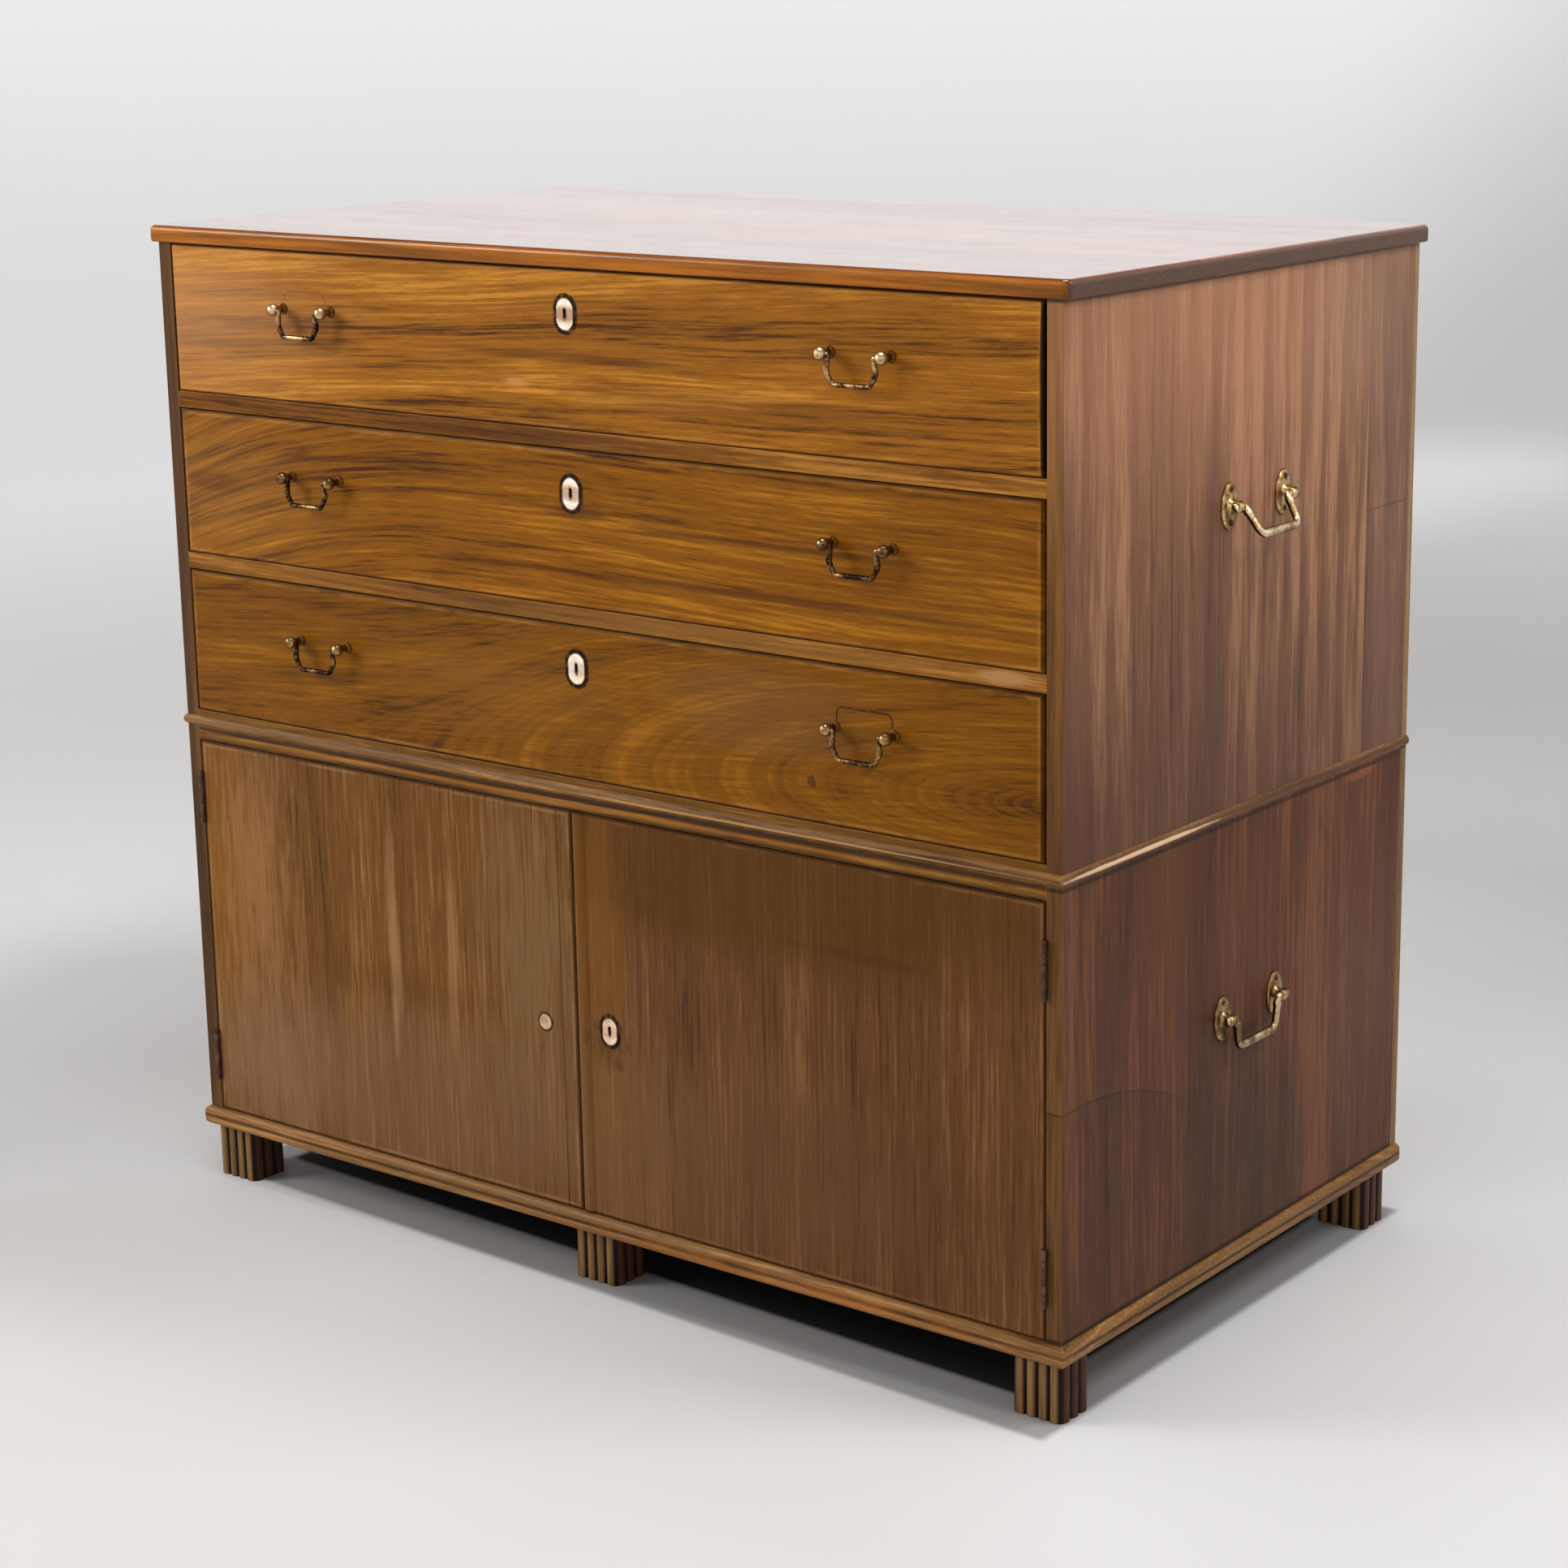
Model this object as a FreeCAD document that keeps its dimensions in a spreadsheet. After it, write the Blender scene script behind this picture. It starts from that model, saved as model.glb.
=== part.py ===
import FreeCAD, Part
import math
import os

import Sketcher

# Campaign chest in two cases: three drawers above, a cupboard with two doors below.
# Millimetres. +X to the right, the front faces -Y, +Z up; the feet stand on Z = 0.
# The origin is the middle of the space that the whole chest takes up, on the floor.

sizes = {
    # Carcass
    "case_width": 1000.0,
    "case_depth": 568.0,
    "lower_case_high": 404.0,
    "upper_case_high": 457.0,
    "side_thick": 15.0,
    "back_thick": 10.0,
    "lower_bottom_thick": 19.0,
    "lower_top_thick": 13.0,
    "upper_bottom_thick": 16.0,
    "rail_thick": 15.0,
    "rail_deep": 70.0,
    "runner_wide": 28.0,
    # Top board
    "top_thick": 15.5,
    "top_side_overhang": 8.0,
    "top_front_overhang": 6.0,
    "top_corner_round": 7.0,
    "top_upper_round": 5.0,
    "top_lower_round": 2.5,
    # Beads planted round the cases
    "waist_bead_high": 9.5,
    "waist_bead_proud": 3.0,
    "waist_bead_rise": 0.5,
    "base_bead_high": 19.0,
    "base_bead_proud": 5.0,
    "base_bead_flat": 5.5,
    # Reeded feet
    "foot_high": 52.0,
    "foot_wide": 51.0,
    "foot_deep": 43.0,
    "foot_side_inset": 1.5,
    "foot_front_inset": 3.0,
    "foot_back_inset": 14.0,
    "centre_foot_x": -11.0,
    "centre_foot_inset": 10.0,
    "reed_rise": 2.6,
    # Drawers
    "drawer_gap_left": 1.2,
    "drawer_gap_right": 3.8,
    "drawer_gap_above": 1.4,
    "drawer_gap_below": 0.3,
    "drawer_front_thick": 18.0,
    "drawer_front_round": 1.8,
    "drawer_side_thick": 10.0,
    "drawer_side_drop": 12.0,
    "drawer_back_thick": 10.0,
    "drawer_bottom_thick": 7.0,
    "drawer_bottom_rise": 6.0,
    "drawer_groove_deep": 5.0,
    "drawer_back_gap": 13.0,
    # Drawer handles
    "handle_from_middle": 309.0,
    "handle_rise": 16.0,
    "pommel_spacing": 60.0,
    "pommel_standoff": 13.0,
    "pommel_ball_radius": 5.5,
    "pommel_neck_radius": 3.2,
    "pommel_rose_radius": 6.6,
    "pommel_rose_thick": 1.5,
    "pommel_shank_radius": 2.4,
    "shank_clearance": 0.1,
    "nut_across_corners": 10.0,
    "nut_thick": 3.0,
    "bail_wire_radius": 1.9,
    "bail_drop": 23.5,
    "bail_neck_inset": 8.2,
    "bail_waist_swell": 2.8,
    "bail_waist_drop": 13.0,
    "bail_bar_inset": 11.5,
    "bail_neck_bend": 2.1,
    "bail_waist_bend": 9.0,
    "bail_bar_bend": 4.5,
    "pin_clearance": 0.06,
    # Bone escutcheons and the door's button
    "escutcheon_wide": 19.4,
    "escutcheon_high": 28.0,
    "escutcheon_proud": 0.8,
    "escutcheon_set": 2.0,
    "escutcheon_rise": 30.0,
    "keyhole_radius": 1.7,
    "keyhole_slot_wide": 2.0,
    "keyhole_drop": 6.5,
    "door_escutcheon_wide": 17.5,
    "door_escutcheon_high": 25.0,
    "door_escutcheon_x": 25.0,
    "door_escutcheon_z": 247.0,
    "button_radius": 7.15,
    "button_x": -51.0,
    "button_z": 242.0,
    # Drawer locks
    "lock_wide": 56.0,
    "lock_thick": 11.0,
    "lock_high": 48.0,
    "bolt_wide": 20.0,
    "bolt_thick": 5.0,
    "bolt_long": 22.0,
    "bolt_throw": 8.0,
    "bolt_clearance": 0.2,
    "bolt_cover": 3.0,
    "mortise_clearance": 0.8,
    # Doors
    "door_thick": 18.0,
    "door_gap_side": 1.5,
    "door_gap_above": 1.5,
    "door_gap_below": 1.0,
    "door_gap_meeting": 1.2,
    "door_meeting_x": -13.7,
    "door_edge_strip": 15.5,
    "door_groove_wide": 1.4,
    "door_groove_deep": 1.0,
    "door_bead_wide": 15.0,
    "door_bead_proud": 1.4,
    # Door lock
    "door_lock_wide": 52.0,
    "door_lock_thick": 13.0,
    "door_lock_high": 62.0,
    "door_lock_inset": 1.4,
    # Butt hinges
    "hinge_long": 50.0,
    "hinge_from_end": 55.0,
    "hinge_standoff": 2.6,
    "hinge_knuckle_radius": 2.3,
    "hinge_pin_radius": 1.2,
    "hinge_leaf_thick": 1.5,
    "hinge_leaf_gap": 0.2,
    "hinge_leaf_deep": 15.0,
    "hinge_clearance": 0.3,
    # Lifting handles on the sides
    "lift_from_front": 289.0,
    "lift_upper_z": 722.5,
    "lift_lower_z": 282.0,
    "lift_plate_spacing": 88.0,
    "lift_plate_wide": 25.0,
    "lift_plate_high": 39.0,
    "lift_plate_thick": 2.5,
    "lift_boss_radius": 5.0,
    "lift_boss_long": 10.0,
    "lift_standoff": 9.5,
    "lift_wire_radius": 2.5,
    "lift_drop": 29.5,
    "lift_pin_long": 13.5,
    "lift_bar_inset": 13.5,
    "lift_neck_inset": 8.6,
    "lift_neck_bend": 3.0,
    "lift_bar_bend": 6.0,
    "lift_swing": 32.0,
}

drawer_count = 3
foot_front_reeds = 4
foot_side_reeds = 3
hinge_knuckles = 5
nut_sides = 6
half_right_angle = 45.0

doc = FreeCAD.newDocument("campaign_chest")
sheet = doc.addObject("Spreadsheet::Sheet", "Sizes")
for row, (alias, number) in enumerate(sizes.items(), start=1):
    sheet.set(f"A{row}", alias)
    sheet.set(f"B{row}", str(number))
    sheet.setAlias(f"B{row}", alias)
doc.recompute()


class Size:
    """A length or an angle: its number, and its formula in the sheet's aliases."""

    def __init__(self, number, formula=None):
        self.number = float(number)
        self.formula = formula or f"({self.number})"

    def __add__(self, other):
        other = as_size(other)
        return Size(self.number + other.number, f"({self.formula} + {other.formula})")

    def __sub__(self, other):
        other = as_size(other)
        return Size(self.number - other.number, f"({self.formula} - {other.formula})")

    def __mul__(self, other):
        other = as_size(other)
        return Size(self.number * other.number, f"({self.formula} * {other.formula})")

    def __truediv__(self, other):
        other = as_size(other)
        return Size(self.number / other.number, f"({self.formula} / {other.formula})")

    def __neg__(self):
        return self * -1

    def __radd__(self, other):
        return self + other

    def __rsub__(self, other):
        return as_size(other) - self

    def __rmul__(self, other):
        return self * other


def as_size(value):
    return value if isinstance(value, Size) else Size(value)


def root(size):
    return Size(math.sqrt(size.number), f"sqrt({size.formula})")


def sine(angle):
    return Size(math.sin(math.radians(angle.number)), f"sin({angle.formula})")


class SheetSizes:
    """Gives each alias of the sheet as a Size."""

    def __getattr__(self, alias):
        return Size(sheet.get(alias), f"Sizes.{alias}")


s = SheetSizes()

# ---- Places that several pieces share, from the case's middle, its front and the floor

half_width = s.case_width / 2
inner_half = half_width - s.side_thick
carcass_deep = s.case_depth - s.back_thick
upper_z = s.foot_high + s.lower_case_high
top_z = upper_z + s.upper_case_high
opening_high = (s.upper_case_high - s.upper_bottom_thick - (drawer_count - 1) * s.rail_thick) / drawer_count
door_z = s.foot_high + s.lower_bottom_thick + s.door_gap_below
door_high = s.lower_case_high - s.lower_bottom_thick - s.lower_top_thick - s.door_gap_below - s.door_gap_above
hinge_edge = inner_half - s.door_gap_side
hinge_axis_x = inner_half - s.door_gap_side / 2
left_meeting_edge = s.door_meeting_x - s.door_gap_meeting / 2
right_meeting_edge = s.door_meeting_x + s.door_gap_meeting / 2
drawer_long = carcass_deep - s.drawer_back_gap
front_high = opening_high - s.drawer_gap_above - s.drawer_gap_below
front_left = s.drawer_gap_left - inner_half
front_right = inner_half - s.drawer_gap_right
front_middle = front_high / 2
handle_z = front_middle + s.handle_rise
lock_bottom = front_high - s.lock_high

# The swung bail reaches furthest to the right, the pommels furthest to the front.
right_reach = half_width + s.lift_standoff + s.lift_drop * sine(s.lift_swing) + s.lift_wire_radius
left_reach = half_width + s.lift_standoff + s.lift_boss_radius
middle_x = (left_reach - right_reach) / 2
front_y = (s.pommel_standoff + s.pommel_ball_radius - s.case_depth) / 2

x_axis = FreeCAD.Vector(1, 0, 0)
y_axis = FreeCAD.Vector(0, 1, 0)
z_axis = FreeCAD.Vector(0, 0, 1)


# ---- How pieces are placed and drawn

def place(piece, local, axis=None, angle=None):
    """Move a piece to a place in its own group's frame, turned about axis if one is given."""
    if axis is not None:
        piece.Placement = FreeCAD.Placement(FreeCAD.Vector(), FreeCAD.Rotation(axis, as_size(angle).number))
        piece.setExpression("Placement.Rotation.Angle", as_size(angle).formula)
    for letter, distance in zip("xyz", local):
        piece.setExpression(f"Placement.Base.{letter}", as_size(distance).formula)
    return piece


def place_in_case(piece, x, y, z, axis=None, angle=None):
    """Move a piece to a place counted from the case's middle, its front and the floor."""
    return place(piece, (middle_x + x, front_y + y, as_size(z)), axis, angle)


def plain_box(name, low, span):
    box = doc.addObject("Part::Box", name)
    for side, length in zip(("Length", "Width", "Height"), span):
        box.setExpression(side, as_size(length).formula)
    return place(box, low)


def board(label, x, y, z, wide, deep, high):
    """A straight board from its lowest corner, in the case's own places."""
    return plain_box(label, (middle_x + x, front_y + y, as_size(z)), (wide, deep, high))


def plain_cylinder(name, radius, high, low):
    cylinder = doc.addObject("Part::Cylinder", name)
    cylinder.setExpression("Radius", as_size(radius).formula)
    cylinder.setExpression("Height", as_size(high).formula)
    return place(cylinder, low)


def group(label, members):
    """Separate solids that share one node."""
    compound = doc.addObject("Part::Compound", label)
    compound.Links = members
    return compound


def fused(name, members):
    fuse = doc.addObject("Part::MultiFuse", name)
    fuse.Shapes = members
    return fuse


def cut(label, base, tools):
    piece = doc.addObject("Part::Cut", label)
    piece.Base = base
    piece.Tool = tools[0] if len(tools) == 1 else group(f"{label}_tools", tools)
    return piece


def origin_feature(body, role):
    return next(feature for feature in body.Origin.OriginFeatures if feature.Role == role)


def new_sketch(body, role, shift=0):
    """A sketch on one of the body's origin planes, moved along that plane's normal."""
    sketch = body.newObject("Sketcher::SketchObject", f"{body.Name}_sketch")
    sketch.AttachmentSupport = [(origin_feature(body, role), "")]
    sketch.MapMode = "FlatFace"
    sketch.setExpression("AttachmentOffset.Base.z", as_size(shift).formula)
    return sketch


def pin_point(sketch, element, end, x, y):
    """Tie a point of the sketch to its two distances from the sketch's origin."""
    for kind, distance in (("DistanceX", as_size(x)), ("DistanceY", as_size(y))):
        rule = sketch.addConstraint(Sketcher.Constraint(kind, -1, 1, element, end, distance.number))
        sketch.setExpression(f"Constraints[{rule}]", distance.formula)


def flat(x, y):
    return FreeCAD.Vector(as_size(x).number, as_size(y).number, 0)


def draw_loop(sketch, start, steps):
    """A closed outline. A step (x, y) is a line; (crest_x, crest_y, x, y) is an arc through its crest."""
    here = start
    ends = []
    for step in steps:
        there = step[-2:]
        if len(step) == 2:
            element = sketch.addGeometry(Part.LineSegment(flat(*here), flat(*there)))
            ends.append((element, 1, 2))
        else:
            arc = Part.Arc(flat(*here), flat(*step[:2]), flat(*there))
            element = sketch.addGeometry(arc)
            drawn = sketch.getPoint(element, 1)
            forwards = drawn.distanceToPoint(flat(*here)) < drawn.distanceToPoint(flat(*there))
            ends.append((element, 1, 2) if forwards else (element, 2, 1))
            crest = sketch.addGeometry(Part.Point(flat(*step[:2])), True)
            pin_point(sketch, crest, 1, *step[:2])
            sketch.addConstraint(Sketcher.Constraint("PointOnObject", crest, 1, element))
        pin_point(sketch, ends[-1][0], ends[-1][1], *here)
        here = there
    for (element, _, last), (following, first, _) in zip(ends, ends[1:] + ends[:1]):
        sketch.addConstraint(Sketcher.Constraint("Coincident", element, last, following, first))


def draw_rectangle(sketch, left, low, right, high):
    draw_loop(sketch, (left, low), [(right, low), (right, high), (left, high), (left, low)])


def draw_circle(sketch, x, y, radius):
    circle = Part.Circle(flat(x, y), FreeCAD.Vector(0, 0, 1), as_size(radius).number)
    element = sketch.addGeometry(circle)
    pin_point(sketch, element, 3, x, y)
    rule = sketch.addConstraint(Sketcher.Constraint("Radius", element, as_size(radius).number))
    sketch.setExpression(f"Constraints[{rule}]", as_size(radius).formula)


def draw_stadium(sketch, x, y, wide, high):
    """An upright outline with round ends."""
    half = wide / 2
    straight = (high - wide) / 2
    steps = [
        (x + half, y + straight),
        (x, y + high / 2, x - half, y + straight),
        (x - half, y - straight),
        (x, y - high / 2, x + half, y - straight),
    ]
    draw_loop(sketch, (x + half, y - straight), steps)


def draw_keyhole(sketch, x, y):
    """A round hole with a slot hanging from it."""
    half_slot = s.keyhole_slot_wide / 2
    shoulder = root(s.keyhole_radius * s.keyhole_radius - half_slot * half_slot)
    steps = [
        (x + half_slot, y - s.keyhole_drop),
        (x + half_slot, y - shoulder),
        (x, y + s.keyhole_radius, x - half_slot, y - shoulder),
        (x - half_slot, y - s.keyhole_drop),
    ]
    draw_loop(sketch, (x - half_slot, y - s.keyhole_drop), steps)


def draw_bent_path(sketch, corners, bends):
    """Straight runs from corner to corner, with a tangent arc of the given radius at each bend."""
    points = [flat(*corner) for corner in corners]
    runs = []
    starts = [points[0]]
    stops = []
    centres = []
    for before, corner, after, bend in zip(points, points[1:], points[2:], bends):
        arrive = (corner - before).normalize()
        leave = (after - corner).normalize()
        turn = arrive.getAngle(leave)
        reach = as_size(bend).number * math.tan(turn / 2)
        stops.append(corner - arrive * reach)
        starts.append(corner + leave * reach)
        inward = (leave - arrive).normalize()
        centres.append(corner + inward * (as_size(bend).number / math.cos(turn / 2)))
    stops.append(points[-1])
    for start, stop in zip(starts, stops):
        runs.append(sketch.addGeometry(Part.LineSegment(start, stop)))
    pin_point(sketch, runs[0], 1, *corners[0])
    pin_point(sketch, runs[-1], 2, *corners[-1])
    for index, (corner, bend) in enumerate(zip(corners[1:-1], bends)):
        start, stop, centre = stops[index], starts[index + 1], centres[index]
        crest = centre + (points[index + 1] - centre).normalize() * as_size(bend).number
        arc = sketch.addGeometry(Part.Arc(start, crest, stop))
        drawn = sketch.getPoint(arc, 1)
        first, last = (1, 2) if drawn.distanceToPoint(start) < drawn.distanceToPoint(stop) else (2, 1)
        sketch.addConstraint(Sketcher.Constraint("Tangent", runs[index], 2, arc, first))
        sketch.addConstraint(Sketcher.Constraint("Tangent", runs[index + 1], 1, arc, last))
        rule = sketch.addConstraint(Sketcher.Constraint("Radius", arc, as_size(bend).number))
        sketch.setExpression(f"Constraints[{rule}]", as_size(bend).formula)
        apex = sketch.addGeometry(Part.Point(points[index + 1]), True)
        pin_point(sketch, apex, 1, *corner)
        sketch.addConstraint(Sketcher.Constraint("PointOnObject", apex, 1, runs[index]))
        sketch.addConstraint(Sketcher.Constraint("PointOnObject", apex, 1, runs[index + 1]))


def new_body(label):
    return doc.addObject("PartDesign::Body", label)


def pad(body, sketch, length, middle=False, backwards=False):
    feature = body.newObject("PartDesign::Pad", f"{body.Name}_pad")
    feature.Profile = sketch
    feature.setExpression("Length", as_size(length).formula)
    feature.Midplane = middle
    feature.Reversed = backwards
    sketch.Visibility = False
    return feature


def pocket(body, sketch, depth, middle=False, backwards=False):
    """Cut a hollow into the body and make sure that it took wood or metal away."""
    doc.recompute()
    before = body.Shape.Volume
    feature = body.newObject("PartDesign::Pocket", f"{body.Name}_pocket")
    feature.Profile = sketch
    feature.setExpression("Length", as_size(depth).formula)
    feature.Midplane = middle
    feature.Reversed = backwards
    doc.recompute()
    if body.Shape.Volume >= before:
        raise RuntimeError(f"{feature.Label} cuts nothing")
    return feature


def edge_names(feature, chosen):
    """Names of the edges whose every corner passes the test."""
    names = []
    for number, edge in enumerate(feature.Shape.Edges, start=1):
        if all(chosen(vertex.Point) for vertex in edge.Vertexes):
            names.append(f"Edge{number}")
    return names


def fillet(body, chosen, radius):
    doc.recompute()
    base = body.Tip
    feature = body.newObject("PartDesign::Fillet", f"{body.Name}_fillet")
    feature.Base = (base, edge_names(base, chosen))
    feature.setExpression("Radius", as_size(radius).formula)
    return feature


def near(distance, size):
    return abs(distance - as_size(size).number) < 0.01


# ---- Carcass of the two cases

def make_top_board():
    """One wide board with a thumb-rounded edge at the front and sides; flush at the back."""
    body = new_body("top_board")
    half = half_width + s.top_side_overhang
    front = -s.top_front_overhang
    corner = s.top_corner_round
    # The crest of a quarter round stands this share of its radius inside the square corner.
    crest = corner * (1 - math.cos(math.radians(half_right_angle)))
    sketch = new_sketch(body, "XY_Plane")
    draw_loop(sketch, (half, s.case_depth), [
        (-half, s.case_depth),
        (-half, front + corner),
        (crest - half, front + crest, corner - half, front),
        (half - corner, front),
        (half - crest, front + crest, half, front + corner),
        (half, s.case_depth),
    ])
    pad(body, sketch, s.top_thick)
    mortise = new_sketch(body, "XY_Plane")
    draw_rectangle(mortise, *bolt_mortise())
    pocket(body, mortise, s.bolt_throw + s.mortise_clearance, backwards=True)
    back = s.case_depth
    fillet(body, lambda point: near(point.z, s.top_thick) and not near(point.y, back), s.top_upper_round)
    fillet(body, lambda point: near(point.z, 0) and point.x ** 2 > inner_half.number ** 2
           and not near(point.y, back) or near(point.z, 0) and near(point.y, front), s.top_lower_round)
    place_in_case(body, 0, 0, top_z)


def bolt_mortise():
    """Left, front, right and back of the hole that takes a drawer lock's bolt."""
    half = s.bolt_wide / 2 + s.mortise_clearance
    front = s.drawer_front_thick - s.lock_thick + s.bolt_cover
    return -half, front - s.mortise_clearance, half, front + s.bolt_thick + s.mortise_clearance


def make_upper_carcass():
    board("upper_side_left", -half_width, 0, upper_z, s.side_thick, carcass_deep, s.upper_case_high)
    board("upper_side_right", inner_half, 0, upper_z, s.side_thick, carcass_deep, s.upper_case_high)
    board("upper_back", -half_width, carcass_deep, upper_z, s.case_width, s.back_thick, s.upper_case_high)
    board("upper_bottom", -inner_half, 0, upper_z, 2 * inner_half, carcass_deep, s.upper_bottom_thick)


def opening_z(drawer):
    """Floor of a drawer's opening; drawer 1 is the topmost."""
    return upper_z + s.upper_bottom_thick + (drawer_count - drawer) * (opening_high + s.rail_thick)


def make_rails_and_runners():
    """A rail under each drawer but the lowest, with a runner behind it along each side."""
    rails = []
    runners = []
    left, front, right, back = bolt_mortise()
    for drawer in range(1, drawer_count):
        low = opening_z(drawer) - s.rail_thick
        rail = board(f"rail_{drawer}_board", -inner_half, 0, low, 2 * inner_half, s.rail_deep, s.rail_thick)
        deep = s.bolt_throw + s.mortise_clearance
        mortise = board(f"rail_{drawer}_mortise", left, front, low, right - left, back - front, deep)
        rails.append(cut(f"rail_{drawer}", rail, [mortise]))
        for side, x in (("left", -inner_half), ("right", inner_half - s.runner_wide)):
            runners.append(board(f"runner_{drawer}_{side}", x, s.rail_deep, low,
                                 s.runner_wide, carcass_deep - s.rail_deep, s.rail_thick))
    group("drawer_rails", rails)
    group("drawer_runners", runners)


def make_lower_carcass():
    for side, x in (("left", -half_width), ("right", inner_half)):
        plank = board(f"lower_side_{side}_plank", x, 0, s.foot_high,
                      s.side_thick, carcass_deep, s.lower_case_high)
        cut(f"lower_side_{side}", plank, hinge_mortises(f"case_{side}", side, s.hinge_leaf_gap / 2))
    board("lower_top", -inner_half, 0, upper_z - s.lower_top_thick,
          2 * inner_half, carcass_deep, s.lower_top_thick)
    board("lower_bottom", -inner_half, 0, s.foot_high, 2 * inner_half, carcass_deep, s.lower_bottom_thick)
    board("lower_back", -half_width, carcass_deep, s.foot_high,
          s.case_width, s.back_thick, s.lower_case_high)


# ---- Beads

def bead_strip(name, section, length, proud, mitre_start, mitre_end):
    """A strip along X with its flat back at Y = 0, cut at 45 degrees where it meets its neighbour."""
    body = new_body(name)
    start = -proud if mitre_start else Size(0)
    end = length + proud if mitre_end else length
    sketch = new_sketch(body, "YZ_Plane", start)
    draw_loop(sketch, *section)
    pad(body, sketch, end - start)
    high = 2 * (s.base_bead_high + s.waist_bead_high)
    if mitre_start:
        corner = new_sketch(body, "XY_Plane")
        draw_loop(corner, (0, 0), [(-proud, -proud), (-proud, 0), (0, 0)])
        pocket(body, corner, high, middle=True)
    if mitre_end:
        corner = new_sketch(body, "XY_Plane")
        draw_loop(corner, (length, 0), [(end, -proud), (end, 0), (length, 0)])
        pocket(body, corner, high, middle=True)
    return body


def make_bead(label, section, proud, z):
    """Front strip mitred at both ends, and a strip back along each side."""
    front = bead_strip(f"{label}_front", section, s.case_width, proud, True, True)
    right = bead_strip(f"{label}_right", section, s.case_depth, proud, True, False)
    left = bead_strip(f"{label}_left", section, s.case_depth, proud, False, True)
    place_in_case(front, -half_width, 0, z)
    place_in_case(right, half_width, 0, z, z_axis, 90)
    place_in_case(left, -half_width, s.case_depth, z, z_axis, -90)
    group(label, [front, right, left])


def make_beads():
    high = s.waist_bead_high
    half_round = ((0, 0), [(-s.waist_bead_proud, high / 2, 0, high), (0, 0)])
    make_bead("waist_bead", half_round, s.waist_bead_proud, upper_z + s.waist_bead_rise)
    # The base bead is a flat with a round over it and a round under it.
    high = s.base_bead_high
    proud = s.base_bead_proud
    lower = (high - s.base_bead_flat) / 2
    upper = high - lower
    crest = proud * math.sin(math.radians(half_right_angle))
    fall = lower * (1 - math.sin(math.radians(half_right_angle)))
    thumb = ((0, 0), [
        (-crest, fall, -proud, lower),
        (-proud, upper),
        (-crest, high - fall, 0, high),
        (0, 0),
    ])
    make_bead("base_bead", thumb, proud, s.foot_high)


# ---- Feet

def foot(name):
    """A square block with upright reeds on its four faces."""
    body = new_body(name)
    half_wide = s.foot_wide / 2 - s.reed_rise
    half_deep = s.foot_deep / 2 - s.reed_rise
    wide_pitch = 2 * half_wide / foot_front_reeds
    deep_pitch = 2 * half_deep / foot_side_reeds
    steps = []
    for reed in range(foot_front_reeds):
        left = wide_pitch * reed - half_wide
        steps.append((left + wide_pitch / 2, -half_deep - s.reed_rise, left + wide_pitch, -half_deep))
    for reed in range(foot_side_reeds):
        low = deep_pitch * reed - half_deep
        steps.append((half_wide + s.reed_rise, low + deep_pitch / 2, half_wide, low + deep_pitch))
    for reed in range(foot_front_reeds):
        right = half_wide - wide_pitch * reed
        steps.append((right - wide_pitch / 2, half_deep + s.reed_rise, right - wide_pitch, half_deep))
    for reed in range(foot_side_reeds):
        high = half_deep - deep_pitch * reed
        steps.append((-half_wide - s.reed_rise, high - deep_pitch / 2, -half_wide, high - deep_pitch))
    sketch = new_sketch(body, "XY_Plane")
    draw_loop(sketch, (-half_wide, -half_deep), steps)
    pad(body, sketch, s.foot_high)
    return body


def make_feet():
    corner_x = half_width - s.foot_side_inset - s.foot_wide / 2
    front = s.foot_front_inset + s.foot_deep / 2
    back = s.case_depth - s.foot_back_inset - s.foot_deep / 2
    centre = s.centre_foot_inset + s.foot_deep / 2
    places = (("front_left", -corner_x, front), ("front_centre", s.centre_foot_x, centre),
              ("front_right", corner_x, front), ("back_left", -corner_x, back), ("back_right", corner_x, back))
    group("feet", [place_in_case(foot(f"foot_{name}"), x, y, 0) for name, x, y in places])


# ---- Drawers

def escutcheon(label, wide, high, x, y, z):
    """A bone plate with round ends, let into the wood and pierced for the key."""
    body = new_body(label)
    sketch = new_sketch(body, "XZ_Plane", s.escutcheon_proud)
    draw_stadium(sketch, 0, 0, wide, high)
    pad(body, sketch, s.escutcheon_proud + s.escutcheon_set, backwards=True)
    fillet(body, lambda point: near(point.y, -s.escutcheon_proud), s.escutcheon_proud / 2)
    hole = new_sketch(body, "XZ_Plane", s.escutcheon_proud)
    draw_keyhole(hole, 0, 2 * s.keyhole_radius)
    pocket(body, hole, s.escutcheon_proud + s.escutcheon_set, backwards=False)
    return place_in_case(body, x, y, z)


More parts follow.
